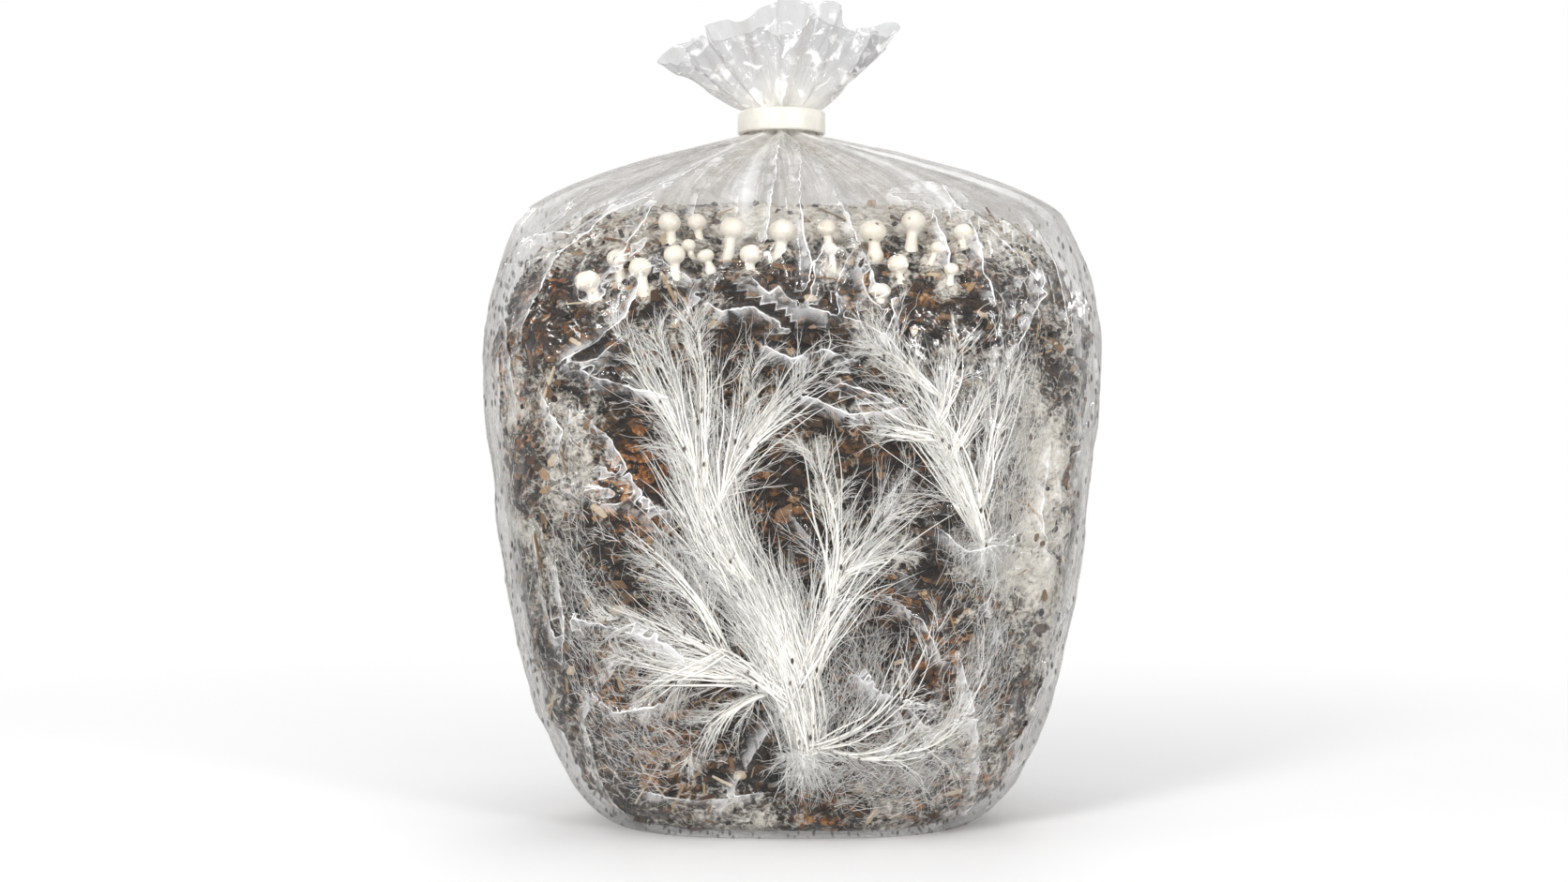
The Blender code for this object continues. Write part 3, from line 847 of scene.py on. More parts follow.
# Each row holds a crease's lift and half width, then the turn and height of each of its points
FRONT_CREASES: tuple[Crease, ...] = tuple(
    Crease(tuple(zip(row[2::2], row[3::2])), row[0], row[1])
    for row in (
        (0.7, 1.6, -27.1, 155.9, -46.0, 152.5, -49.2, 147.3, -45.4, 140.2),
        (1.0, 1.8, -23.4, 154.3, -26.6, 150.0, -26.1, 142.7, -34.1, 136.9, -36.2, 133.6, -41.6, 127.3, -43.0,
         119.3, -45.6, 112.2),
        (0.7, 1.6, -16.8, 152.7, -24.2, 146.9, -31.1, 141.4, -37.0, 138.3, -39.4, 135.3),
        (1.3, 1.5, -26.5, 138.9, -27.1, 135.3, -29.1, 129.2, -32.5, 119.1, -34.9, 117.1, -35.8, 119.3, -35.9, 125.6),
        (1.0, 1.2, -26.8, 128.9, -30.2, 122.9, -31.3, 119.3, -33.1, 117.1),
        (1.1, 1.3, -25.8, 123.2, -26.5, 118.2, -27.6, 114.7, -31.9, 109.2, -37.1, 105.6),
        (1.3, 1.6, -37.1, 105.6, -32.5, 101.5, -28.2, 100.1, -22.0, 97.6),
        (1.0, 1.4, -36.5, 105.1, -32.1, 105.1, -28.9, 109.2),
        (0.9, 1.3, -7.6, 123.4, -5.5, 120.2, -4.2, 119.3, -2.5, 120.7, 0.9, 116.0),
        (1.5, 2.0, 11.6, 152.7, 9.0, 146.4, 8.9, 140.5, 12.4, 129.2, 14.3, 122.1, 16.5, 119.1),
        (1.0, 1.6, 13.0, 151.3, 16.0, 146.0, 19.0, 143.7, 21.1, 140.7, 25.8, 139.3),
        (1.1, 1.6, 21.6, 143.3, 28.8, 144.6, 33.5, 143.2, 33.9, 142.1),
        (1.1, 1.5, 31.5, 143.6, 30.6, 139.4, 32.4, 136.4, 32.8, 129.5, 32.4, 124.8, 33.1, 119.3),
        (0.9, 1.5, 33.2, 137.7, 37.6, 130.6, 39.9, 125.1, 41.2, 121.5),
        (1.3, 1.8, 39.1, 135.3, 41.8, 131.7, 42.5, 126.2, 42.8, 122.6),
        (0.9, 1.6, 43.1, 119.9, 40.2, 116.0, 37.8, 110.8, 35.5, 104.0),
        (0.8, 1.2, 26.3, 136.9, 27.4, 131.1, 26.9, 125.6),
        (0.9, 1.3, 0.4, 117.7, 6.5, 114.9, 11.9, 113.6, 15.6, 110.3),
        (0.8, 1.2, 11.8, 124.5, 12.9, 119.1, 15.4, 115.8),
        (1.3, 1.7, -38.5, 79.2, -32.2, 78.1, -27.4, 75.7, -22.9, 73.2),
        (1.1, 1.4, -38.1, 78.7, -32.8, 74.6, -28.6, 74.9),
        (0.8, 1.2, -31.1, 81.7, -27.1, 79.8, -25.4, 76.0, -22.6, 73.8),
        (1.2, 1.6, 2.4, 97.6, 10.6, 93.5, 19.1, 95.2),
        (1.0, 1.3, 9.1, 100.1, 14.5, 97.9, 19.1, 95.2),
        (0.9, 1.4, -40.9, 50.1, -32.2, 47.9, -24.4, 44.9),
        (0.7, 1.2, -31.3, 50.7, -25.9, 47.4, -21.5, 41.9),
        (0.7, 1.2, 26.3, 21.9, 31.8, 26.8, 39.1, 28.5),
        (0.8, 1.5, -32.1, 11.4, -22.4, 10.3, -9.6, 11.7),
        (0.9, 1.6, 44.4, 17.2, 50.6, 24.6, 52.2, 36.4),
        (0.8, 1.8, -46.5, 68.8, -46.9, 58.9, -44.5, 43.0),
        (0.7, 1.8, -52.5, 120.2, -49.1, 108.1, -48.0, 94.3),
        (0.8, 1.8, 50.3, 114.1, 51.2, 96.3, 52.1, 80.6),
        (0.8, 1.5, 43.9, 86.4, 43.4, 72.7, 47.1, 60.9),
        (0.7, 1.2, 18.9, 53.7, 23.8, 49.6, 27.9, 41.9),
        (0.6, 1.4, -27.5, 153.3, -19.4, 144.0, -18.8, 138.0),
        (0.7, 1.3, -12.6, 153.0, -10.9, 146.4, -10.9, 139.5),
        (1.5, 1.2, -5.5, 157.0, -4.4, 152.9, -4.0, 146.4, -4.2, 139.5, -5.0, 131.0),
        (1.6, 1.2, 4.5, 157.0, 3.0, 152.9, 1.6, 146.4, 1.2, 139.5, 2.0, 132.2, 3.1, 126.2, 2.9, 121.8),
        (0.8, 1.4, -22.8, 126.5, -17.2, 121.8, -12.0, 124.3, -7.6, 123.4),
        (1.0, 1.5, 0.9, 116.0, 3.1, 118.8, 4.0, 124.8, 5.5, 128.7),
        (0.9, 1.3, 8.2, 115.5, 7.5, 120.7, 9.5, 126.2),
        (1.0, 1.4, 15.6, 110.3, 17.2, 114.9, 16.5, 118.8),
        (0.8, 1.3, -16.4, 118.8, -12.4, 115.5, -7.0, 116.6, -2.4, 113.0),
        (1.0, 1.6, -43.8, 139.8, -44.4, 136.6, -50.0, 133.1, -53.0, 127.8),
        (1.1, 1.5, -53.1, 131.7, -47.5, 133.3, -40.5, 133.1),
        (1.0, 1.5, -56.8, 126.7, -49.0, 126.2, -43.9, 128.4),
        (1.0, 1.5, 46.0, 135.8, 47.2, 129.8, 47.0, 121.8, 47.0, 113.8),
        (0.9, 1.3, 36.9, 131.1, 40.1, 127.0, 42.1, 119.6),
        (0.9, 1.5, -41.1, 96.3, -38.4, 90.2, -39.6, 84.5),
        (0.8, 1.2, -35.1, 94.3, -30.9, 89.4, -27.1, 80.6),
        (0.8, 1.3, -3.9, 107.8, 0.0, 105.6, 5.2, 107.5, 9.0, 105.9),
        (0.9, 1.5, 25.6, 69.1, 30.5, 64.1, 36.8, 66.1, 42.6, 63.0),
        (0.9, 1.4, -40.2, 33.4, -35.1, 29.6, -27.9, 30.7),
        (0.8, 1.3, 14.8, 38.1, 17.8, 33.1, 24.9, 31.7),
    )
)


@dataclass
class FilmBag:
    """The bag: one sheet of film, gathered through the collar into a frill.

    The depths and heights of its folds are in mm. Where no crease is near, its distance is given as far.
    """

    finish: FilmFinish
    wall: float = 0.15 * MM
    pleat_depths: Triple = (1.2, 5.0, 4.2)
    fine_pleats: float = 0.7
    frill_droop: float = 8.5
    frill_tilt: float = 2.4
    ruffles: Triple = (2.8, 0.9, 0.35)
    bulges: float = 0.9
    crumples: float = 0.30
    frill_crumples: float = 1.1
    crease_reach: float = 3.4
    far: float = 9.0
    loose_from: float = 0.131
    loose_over: float = 0.014
    gather_reach: float = 0.0055
    columns: int = 234
    front_share: float = 0.45
    base_rows: int = 5
    body_rows: int = 160
    frill_rows: int = 38
    loose_creases: int = 60
    creases: tuple[Crease, ...] = FRONT_CREASES

    def heights(self) -> Array:
        """The heights of the rows, evenly spaced along the film from the base's edge to the top of the collar."""
        wall = FORM.belly * np.linspace(0, 1, 2000) ** 2.2
        upper = np.linspace(FORM.belly, FORM.collar_base - FORM.gap, 2000)[1:]
        fine = np.concatenate([wall, upper])
        half_width, _, _ = FORM.section(fine)
        run = np.append(0, np.cumsum(np.hypot(np.diff(half_width), np.diff(fine))))
        rows = np.interp(np.linspace(0, run[-1], self.body_rows), run, fine)
        neck = np.linspace(FORM.collar_base - FORM.gap, FORM.collar_top + FORM.gap, 5)[1:]
        return np.concatenate([rows, neck])

    def turns(self) -> Array:
        """The turns of the columns, closer together at the front."""
        share = np.linspace(0, 1, self.columns + 1)
        return math.tau * share - self.front_share * np.sin(math.tau * share)

    def gathered(self, height: Array, turn: Array) -> Array:
        """How deep the pleats draw the film in.

        Args:
            height: Row heights, as a column.
            turn: Turns, as a row.

        Returns:
            Depths for each row and turn.
        """
        up = np.clip((height - FORM.belly) / FORM.shoulder_rise, 0, 1)
        close = np.clip((height - FORM.shoulder) / FORM.tent_rise, 0, 1)
        start, tent, neck = self.pleat_depths
        deep = np.where(close < 0.5, blend(start, tent, 2 * close), blend(tent, neck, 2 * close - 1)) * MM
        deep = np.where(height <= FORM.shoulder, start * MM * up**2, deep)
        place = turn * FORM.pleats / math.tau
        pleat = np.floor(place) % FORM.pleats
        strength = 1 + 0.3 * (1 - close) * np.sin(2.4 * pleat + 0.7)
        into = 1 - np.abs(2 * (place % 1.0) - 1)
        fine = 0.5 - 0.5 * np.cos(4 * math.tau * place + 2.0 * np.sin(3 * turn))
        fine = self.fine_pleats * MM * fine * close * (1 - close) * 4 * (0.6 + 0.4 * np.sin(5 * turn))
        return deep * strength * into + fine

    def body(self, turn: Array) -> Array:
        """The film from the middle of the base to the top of the collar.

        Args:
            turn: The turns of the columns.

        Returns:
            Points of shape (rows, columns + 1, 3).
        """
        height = self.heights()[:, None]
        half_width, half_depth, square = FORM.section(height)
        places = FORM.around(turn[None], half_width, half_depth, square, height)
        places = places - self.gathered(height, turn[None])[..., None] * away_from_axis(places)
        close = np.clip((height - FORM.shoulder) / FORM.tent_rise, 0, 1)
        places[..., 0] += FORM.collar_shift * close
        foot = [places[0] * (share, share, 1) for share in np.linspace(0, 1, self.base_rows, endpoint=False)]
        return np.concatenate([np.array(foot), places])

    def frill(self, turn: Array) -> Array:
        """The ruffled frill above the collar.

        Args:
            turn: The turns of the columns.

        Returns:
            Points of shape (rows, columns + 1, 3).
        """
        share = np.linspace(0, 1, self.frill_rows + 1)[1:, None]
        turn = turn[None]
        half_width = blend(FORM.neck, FORM.frill_width / 2, share**0.75)
        half_depth = blend(FORM.neck, FORM.frill_depth / 2, share)
        rise = FORM.frill_rise - self.frill_droop * MM * np.sin(turn) ** 2 + self.frill_tilt * MM * np.sin(turn)
        rise = rise + 1.4 * MM * np.sin(5 * turn + 1)
        rise = rise + share * MM * (1.0 * np.sin(11 * turn + 2) + 0.5 * np.sin(23 * turn))
        height = FORM.collar_top + FORM.gap + rise * share
        places = FORM.around(turn, half_width, half_depth, np.full_like(share, 2.0), height)
        into = 1 - np.abs(2 * (turn * FORM.pleats / math.tau % 1.0) - 1)
        broad, middling, fine = self.ruffles
        drawn = self.pleat_depths[2] * MM * (1 - share) ** 1.5 * into + broad * MM * share * np.cos(7 * turn + 0.6)
        drawn = drawn + middling * MM * share * np.cos(17 * turn + 1.5 * share + 0.4)
        drawn = drawn + fine * MM * np.sqrt(share) * np.cos(31 * turn + 3 * share)
        places = places - drawn[..., None] * away_from_axis(places)
        places[..., 0] += FORM.collar_shift
        return places

    def fold_lift(self, places: Array) -> tuple[Array, Array, Array]:
        """How far the creases lift the film.

        Args:
            places: The film's points.

        Returns:
            Lifts in metres, how near a crease is, 0 to 1, and how far to its left or right, in millimetres.
        """
        rng = np.random.default_rng(11)
        creases = list(self.creases)
        for _ in range(self.loose_creases):
            turn, height = rng.uniform(0, 360), rng.uniform(30, 136)
            slope = rng.normal(0, 0.5)
            points = [(turn, height)]
            for _ in range(rng.integers(2, 4)):
                turn += slope * rng.uniform(4, 16)
                height -= rng.uniform(5, 16)
                points.append((turn, max(height, 6)))
                slope += rng.normal(0, 0.6)
            creases.append(Crease(tuple(points), rng.uniform(0.2, 0.7), rng.uniform(1.4, 3.2)))
        lift, near = np.zeros(places.shape[:-1]), np.zeros(places.shape[:-1])
        closest = np.full(places.shape[:-1], self.far)
        for crease in creases:
            line = self.on_film(crease.points)
            nearest, side = np.full(places.shape[:-1], self.far), np.zeros(places.shape[:-1])
            for start, end in zip(line[:-1], line[1:]):
                along = end - start
                share = np.clip(((places - start) @ along) / (along @ along), 0, 1)
                gap = np.linalg.norm(places - start - share[..., None] * along, axis=-1)
                beside = (places - start) @ np.cross(along, start * (1, 1, 0))
                side = np.where(gap < nearest, np.sign(beside), side)
                nearest = np.minimum(nearest, gap)
            ridge = np.clip(1 - nearest / (crease.half_width * MM), 0, 1) ** 1.3
            lift = np.maximum(lift, crease.lift * MM * ridge)
            closer = nearest < np.abs(closest)
            reach = np.clip(1.25 - nearest / (self.crease_reach * MM), 0, 1) * min(1, crease.lift)
            near = np.where(closer, reach, near)
            closest = np.where(closer, nearest * np.where(side < 0, -1, 1), closest)
        return lift, near, closest / MM

    def on_film(self, points: tuple[tuple[float, float], ...]) -> Array:
        """Turns crease points into places on the film."""
        turn = np.radians([point[0] for point in points])
        height = np.array([point[1] for point in points]) * MM
        half_width, half_depth, square = FORM.section(height)
        return FORM.around(turn, half_width, half_depth, square, height)

    def build(self) -> Piece:
        """Models the bag.

        Returns:
            The finished piece.
        """
        turn = self.turns()
        body, frill = self.body(turn), self.frill(turn)
        body_rows = len(body)
        places = np.concatenate([body, frill])
        normals = grid_normals(places)
        broad = field_of(places, lambda point: noise.fractal(point * 45, 0.7, 2.0, 2))
        crumple = field_of(places, lambda point: abs(noise.noise(point * 115)) + 0.5 * abs(noise.noise(point * 240)))
        height = places[..., 2]
        free = np.clip(height / 0.012, 0, 1)
        slack = np.where(height > FORM.shoulder, 0.6, 1.0) * np.where(height > FORM.collar_base - 0.004, 0.15, 1.0)
        lift = self.bulges * MM * np.clip(broad + 0.35, 0, 2) + self.crumples * MM * (0.5 - crumple)
        lift = lift * free * slack
        folds, near, gap = np.zeros_like(lift), np.zeros_like(lift), np.full_like(lift, self.far)
        folds[:body_rows], near[:body_rows], gap[:body_rows] = self.fold_lift(body)
        lift += folds * free
        open_wide = np.clip((height[body_rows:] - 0.168) / 0.008, 0, 1)
        lift[body_rows:] = self.frill_crumples * MM * (0.4 - crumple[body_rows:]) * open_wide
        lift[:, -1] = lift[:, 0]
        places = places + lift[..., None] * normals
        places[..., 2] = np.maximum(places[..., 2], 0)
        places[:, -1] = places[:, 0]
        drawn = self.gathered(np.maximum(height, FORM.belly), turn[None]) / (4.5 * MM)
        pleat = np.where(height > FORM.collar_base, 0, np.clip(drawn, 0, 1) ** 1.3)
        near[:, -1], gap[:, -1] = near[:, 0], gap[:, 0]
        bag = sheet_over("film_bag_clear", places, {"near": near, "gap": gap, "pleat": pleat})
        self.mark_gather(bag)
        choose(bag)
        bpy.ops.object.modifier_add(type="SOLIDIFY")
        solidify = bag.modifiers[-1]
        solidify.thickness, solidify.offset = self.wall, -1.0
        bpy.ops.object.modifier_apply(modifier=solidify.name)
        dress(bag, self.finish.make(), "clear_film", "film_bag")
        return bag

    def mark_gather(self, bag: Piece) -> None:
        """Writes where the film hangs loose, in tent and frill, and how tightly the collar gathers it."""
        places = np.array([vertex.co[:] for vertex in bag.data.vertices])
        middle = (FORM.collar_base + FORM.collar_top) / 2
        rise = np.maximum(0, np.abs(places[:, 2] - middle) - FORM.collar_height / 2)
        away = np.hypot(np.hypot(places[:, 0] - FORM.collar_shift, places[:, 1]), rise) - FORM.neck
        marks = {
            "loose": np.clip((places[:, 2] - self.loose_from) / self.loose_over, 0, 1),
            "gather": np.exp(-np.maximum(0, away) / self.gather_reach),
            "frill": (places[:, 2] > FORM.collar_top).astype(float),
        }
        for name, values in marks.items():
            mark(bag.data, name, values)


@dataclass
class CollarRing:
    """The moulded ring that the bag's neck is drawn through."""

    finish: PlasticFinish
    bevel: float = 0.5 * MM
    steps: int = 96

    def build(self) -> Piece:
        """Spins the ring's section round the neck.

        Returns:
            The finished piece.
        """
        inner, outer = FORM.collar_radius - FORM.collar_wall, FORM.collar_radius
        deselect_all()
        middle = (FORM.collar_shift + (inner + outer) / 2, 0, (FORM.collar_base + FORM.collar_top) / 2)
        bpy.ops.mesh.primitive_plane_add(size=1, location=middle, rotation=(math.pi / 2, 0, 0))
        ring = bpy.context.active_object
        ring.name = ring.data.name = "collar_ring_moulded"
        ring.scale = (outer - inner, FORM.collar_height, 1)
        bpy.ops.object.transform_apply(location=True, rotation=True, scale=True)
        in_edit_mode(ring)
        bpy.ops.mesh.bevel(offset=self.bevel, segments=4, affect="VERTICES")
        bpy.ops.mesh.delete(type="ONLY_FACE")
        bpy.ops.mesh.select_all(action="SELECT")
        centre = (FORM.collar_shift, 0, middle[2])
        bpy.ops.mesh.spin(steps=self.steps, angle=math.tau, center=centre, axis=(0, 0, 1))
        bpy.ops.mesh.select_all(action="SELECT")
        bpy.ops.mesh.remove_doubles(threshold=1e-6)
        bpy.ops.mesh.normals_make_consistent(inside=False)
        bpy.ops.object.mode_set(mode="OBJECT")
        bpy.ops.object.shade_smooth_by_angle(angle=math.radians(40))
        dress(ring, self.finish.make(), "ivory_plastic", "collar_ring")
        return ring


@dataclass(frozen=True)
class Arc:
    """One branch on a face: where it starts, as shares of the face, its course, and its half widths."""

    across: float
    up: float
    heading: float
    length: float
    bend: float
    root: float
    tip: float


@dataclass(frozen=True)
class Veil:
    """A patch of short loose threads on a face: its middle and half sizes in mm, and how many threads."""

    across: float
    height: float
    wide: float
    tall: float
    threads: int
    heading: float = 0.0


@dataclass(frozen=True)
class FanPlan:
    """One fan or fork: the node it stands for, its face, its branches, how dense it is, and its loose patches."""

    node: str
    facing: Facing
    arcs: tuple[Arc, ...]
    density: float
    veils: tuple[Veil, ...]


@dataclass
class Threads:
    """Tapered threads on one face, as arrays: each starts at a place, sets off at a heading and bends."""

    across: Array
    height: Array
    heading: Array
    length: Array
    bend: Array
    width: Array
    depth: Array
    tone: Array
    rings: int

    def courses(self, rng: np.random.Generator) -> tuple[Array, Array, Array]:
        """Lays the threads out on the face.

        Args:
            rng: Seeded randomness.

        Returns:
            Places across, heights and headings, each of shape (threads, rings).
        """
        count = len(self.across)
        share = np.linspace(0, 1, self.rings)[None]
        waves, phase = rng.uniform(0.8, 2.6, (count, 1)), rng.uniform(0, math.tau, (count, 1))
        wiggle = rng.normal(0, 0.16, (count, 1)) * np.sin(math.tau * waves * share + phase)
        heading = self.heading[:, None] + self.bend[:, None] * share + wiggle
        step = (self.length / (self.rings - 1))[:, None]
        across = np.cumsum(step * np.sin(heading), axis=1)
        height = np.cumsum(step * np.cos(heading), axis=1)
        across = self.across[:, None] + across - across[:, :1]
        height = self.height[:, None] + height - height[:, :1]
        return across, height, heading


@dataclass
class MyceliumFan:
    """One fan or fork of mycelium: ropes along its branches, threads that spray from them, and loose veils."""

    plan: FanPlan
    finish: Material
    seed: int
    ceiling: float = 0.134
    floor: float = 0.003
    steps: int = 40
    points: list = field(default_factory=list)
    faces: list = field(default_factory=list)
    tones: list = field(default_factory=list)
    count: int = 0

    def __post_init__(self) -> None:
        """Seeds the fan's randomness."""
        self.rng = np.random.default_rng(self.seed)

    def spread(self, count: int, *ranges: tuple[float, float]) -> list[Array]:
        """Even random sizes for so many threads, in each of the ranges, which are in mm."""
        return [self.rng.uniform(low, high, count) * MM for low, high in ranges]

    def beside(self, arc: Arc, index: int | Array, aside: Number = 0.0) -> tuple[Array, Array, Array]:
        """Places beside the middle line of a branch.

        Args:
            arc: The branch.
            index: Which of the steps along it.
            aside: How far to the right of it.

        Returns:
            Places across, heights, and the branch's headings there.
        """
        half_face = (FORM.depth if self.plan.facing.on_side else FORM.width) / 2
        heading = np.radians(arc.heading + arc.bend * np.linspace(0, 1, self.steps + 1))
        step = arc.length / self.steps
        across = arc.across * half_face + np.cumsum(step * np.sin(heading)) - step * np.sin(heading[0])
        height = arc.up * FORM.fill + np.cumsum(step * np.cos(heading)) - step * np.cos(heading[0])
        across, height, heading = across[index], height[index], heading[index]
        return across + aside * np.cos(heading), height - aside * np.sin(heading), heading

    def ropes(self, arc: Arc) -> Threads:
        """Threads that run along a branch and make up its core.

        Args:
            arc: The branch.

        Returns:
            The threads.
        """
        rng = self.rng
        count = int(self.plan.density * (8 + 25000 * max(0, arc.root + arc.tip - 1.6 * MM)))
        start = rng.uniform(0, 0.55, count) ** 1.3
        half = blend(arc.root, arc.tip, start)
        aside = np.clip(rng.normal(0, 0.5, count), -1.1, 1.1) * half
        across, height, heading = self.beside(arc, (start * self.steps).astype(int), aside)
        length = arc.length * (1 - start) * rng.uniform(0.45, 1.0, count)
        bend = np.radians(arc.bend) * length / arc.length + rng.normal(0, 0.10, count) + 0.35 * aside / half
        heading = heading + rng.normal(0, 0.09, count)
        sizes = self.spread(count, (0.09, 0.24), (1.1, 2.0))
        return Threads(across, height, heading, length, bend, *sizes, rng.uniform(0.0, 0.25, count), 10)

    def cords(self, arc: Arc) -> Threads:
        """The few thick cords in the middle of a branch.

        Args:
            arc: The branch.

        Returns:
            The threads.
        """
        rng = self.rng
        count = int(self.plan.density * (6 + 900 * arc.root))
        aside = rng.normal(0, 0.25, count) * (arc.root + 1.0 * MM)
        across, height, heading = self.beside(arc, 0, aside)
        heading = heading + rng.normal(0, 0.05, count)
        length = arc.length * rng.uniform(0.55, 1.08, count)
        bend = np.radians(arc.bend) + rng.normal(0, 0.10, count) + 0.2 * aside / arc.root
        sizes = self.spread(count, (0.22, 0.46), (1.0, 1.6))
        return Threads(across, height, heading, length, bend, *sizes, rng.uniform(0.0, 0.12, count), 16)

    def sprays(self, arc: Arc) -> Threads:
        """Bundles of threads that leave a branch to both sides.

        Args:
            arc: The branch.

        Returns:
            The threads.
        """
        rng = self.rng
        bundles = max(6, int(self.plan.density * arc.length / (1.6 * MM)))
        start = np.sort(rng.uniform(0.02, 1.0, bundles))
        side = np.where(np.arange(bundles) % 2 == 0, 1.0, -1.0)
        leave = side * np.radians(rng.uniform(8, 38, bundles))
        reach = (0.40 * arc.length + 7.0 * MM) * blend(1.0, 0.5, start) * rng.uniform(0.5, 1.2, bundles)
        curve = side * np.radians(rng.normal(8, 22, bundles))
        which = np.repeat(np.arange(bundles), rng.integers(2, 6, bundles))
        count = len(which)
        index = np.clip(start[which] * self.steps + rng.normal(0, 0.9, count), 0, self.steps).astype(int)
        aside = side[which] * blend(arc.root, arc.tip, start[which]) * 0.45 * rng.uniform(0, 1, count)
        across, height, heading = self.beside(arc, index, aside)
        heading = heading + leave[which] + rng.normal(0, 0.07, count)
        length = reach[which] * rng.uniform(0.5, 1.05, count)
        bend = curve[which] + rng.normal(0, 0.10, count)
        sizes = self.spread(count, (0.05, 0.14), (1.0, 1.8))
        tone = np.clip(rng.uniform(0.0, 0.5, bundles)[which] + rng.normal(0, 0.06, count), 0, 1)
        return Threads(across, height, heading, length, bend, *sizes, tone, 12)

    def boss(self, arc: Arc) -> Threads:
        """Threads that burst from the root of a fan, most of them downwards.

        Args:
            arc: The fan's first branch.

        Returns:
            The threads.
        """
        rng = self.rng
        count = int(36000 * self.plan.density * arc.root)
        across, height, heading = self.beside(arc, 0)
        away = rng.uniform(-1, 1, count)
        across = across + rng.normal(0, 0.35, count) * arc.root
        height = height + rng.normal(0.8, 0.5, count) * MM
        length = rng.uniform(0.7, 2.6, count) * arc.root * (1.15 - 0.4 * np.abs(away))
        bend = rng.normal(0, 0.35, count)
        sizes = self.spread(count, (0.07, 0.18), (1.1, 1.9))
        tone = rng.uniform(0.1, 0.6, count)
        return Threads(across, height, heading + math.pi + 1.9 * away, length, bend, *sizes, tone, 8)

    def forks(self, threads: Threads, each: float, rings: int) -> Threads:
        """Finer threads that fork from others.

        Args:
            threads: The threads they leave.
            each: How many leave one thread, on average.
            rings: How many rings each has, 2 for a plain hair.

        Returns:
            The finer threads.
        """
        rng = self.rng
        across, height, heading = threads.courses(np.random.default_rng(self.seed + threads.rings))
        count = int(each * len(threads.across))
        which = rng.integers(0, len(threads.across), count)
        at = rng.uniform(0.12, 0.9, count)
        low = (at * (threads.rings - 1)).astype(int)
        part = at * (threads.rings - 1) - low
        high = np.minimum(low + 1, threads.rings - 1)
        side = rng.choice([-1.0, 1.0], count)
        return Threads(
            blend(across[which, low], across[which, high], part),
            blend(height[which, low], height[which, high], part),
            heading[which, low] + side * np.radians(rng.uniform(8, 32, count)),
            np.maximum(threads.length[which] * rng.uniform(0.16, 0.52, count) * (1.15 - 0.5 * at), 0.9 * MM),
            side * np.radians(rng.normal(-4, 16, count)),
            threads.width[which] * (1 - 0.6 * at) * 0.55 + 0.022 * MM,
            threads.depth[which] + rng.normal(0, 0.12, count) * MM,
            np.clip(threads.tone[which] + rng.uniform(0.0, 0.35, count), 0, 1),
            rings,
        )

    def loose(self, veil: Veil) -> Threads:
        """Short threads of a veil, thickest in its middle.

        Args:
            veil: The patch.

        Returns:
            The threads.
        """
        rng = self.rng
        count = int(veil.threads * self.plan.density)
        heading = np.radians(veil.heading) + rng.normal(0, 0.55, count)
        across = (veil.across + veil.wide * np.clip(rng.normal(0, 0.5, count), -1.1, 1.1)) * MM
        height = (veil.height + veil.tall * np.clip(rng.normal(0, 0.5, count), -1.1, 1.1)) * MM
        length = rng.uniform(2.5, 13.0, count) * MM
        bend = rng.normal(0, 0.6, count)
        sizes = self.spread(count, (0.04, 0.10), (1.1, 2.4))
        return Threads(across, height, heading, length, bend, *sizes, rng.uniform(0.35, 1.1, count), 5)

    def spin_out(self, threads: Threads) -> None:
        """Makes tubes of the threads, each with three sides, a closed root and a pointed tip.

        Args:
            threads: The threads.
        """
        rng = np.random.default_rng(self.seed + threads.rings)
        across, height, _ = threads.courses(rng)
        over = np.maximum(0, height.max(axis=1) - self.ceiling) / np.maximum(threads.length, 1e-6)
        keep = (over < 0.35) & (height.min(axis=1) > self.floor)
        across, height = across[keep], height[keep]
        width, depth, tone = threads.width[keep], threads.depth[keep], threads.tone[keep]
        count, rings = across.shape
        share = np.linspace(0, 1, rings)[None]
        swing = 0.2 * MM * np.sin(math.tau * share * rng.uniform(0.5, 1.5, (count, 1)) + rng.uniform(0, 6, (count, 1)))
        deep = np.clip(depth[:, None] + swing, 0.8 * MM, 2.6 * MM)
        middle = FORM.on_face(self.plan.facing, across, height, deep)
        ahead = np.gradient(middle, axis=1)
        ahead /= np.maximum(np.linalg.norm(ahead, axis=2, keepdims=True), 1e-12)
        outward = away_from_axis(middle)
        aside = np.cross(ahead, outward)
        aside /= np.maximum(np.linalg.norm(aside, axis=2, keepdims=True), 1e-12)
        swell = np.minimum(1, 0.3 + 7 * share) if rings > 7 else 1.0
        radius = (width[:, None] * (1 - share**1.5 * 0.85) * swell)[..., None]
        angles = (0, math.tau / 3, 2 * math.tau / 3)
        corners = [middle + radius * (math.cos(angle) * outward * 0.8 + math.sin(angle) * aside) for angle in angles]
        tube = np.stack(corners, axis=2)[:, :-1].reshape(count, -1, 3)
        tube = np.concatenate([tube, middle[:, -1:]], axis=1)
        size = 3 * (rings - 1) + 1
        first = (self.count + np.arange(count) * size)[:, None, None]
        ring = np.arange(rings - 2)[:, None] * 3
        side = np.arange(3)[None]
        following = (side + 1) % 3
        quads = np.stack([ring + side, ring + side + 3, ring + following + 3, ring + following], axis=-1).reshape(-1, 4)
        last = 3 * (rings - 2)
        tips = np.stack([last + side[0], np.full(3, size - 1), last + following[0]], axis=-1)
        root = np.array([[0, 1, 2]])
        self.faces.append((first + quads[None]).reshape(-1, 4))
        self.faces.append((first + np.concatenate([tips, root])[None]).reshape(-1, 3))
        self.points.append(tube.reshape(-1, 3))
        self.tones.append(np.repeat(tone, size) + np.tile(np.append(np.repeat(share[0, :-1], 3), 1) * 0.25, count))
        self.count += count * size

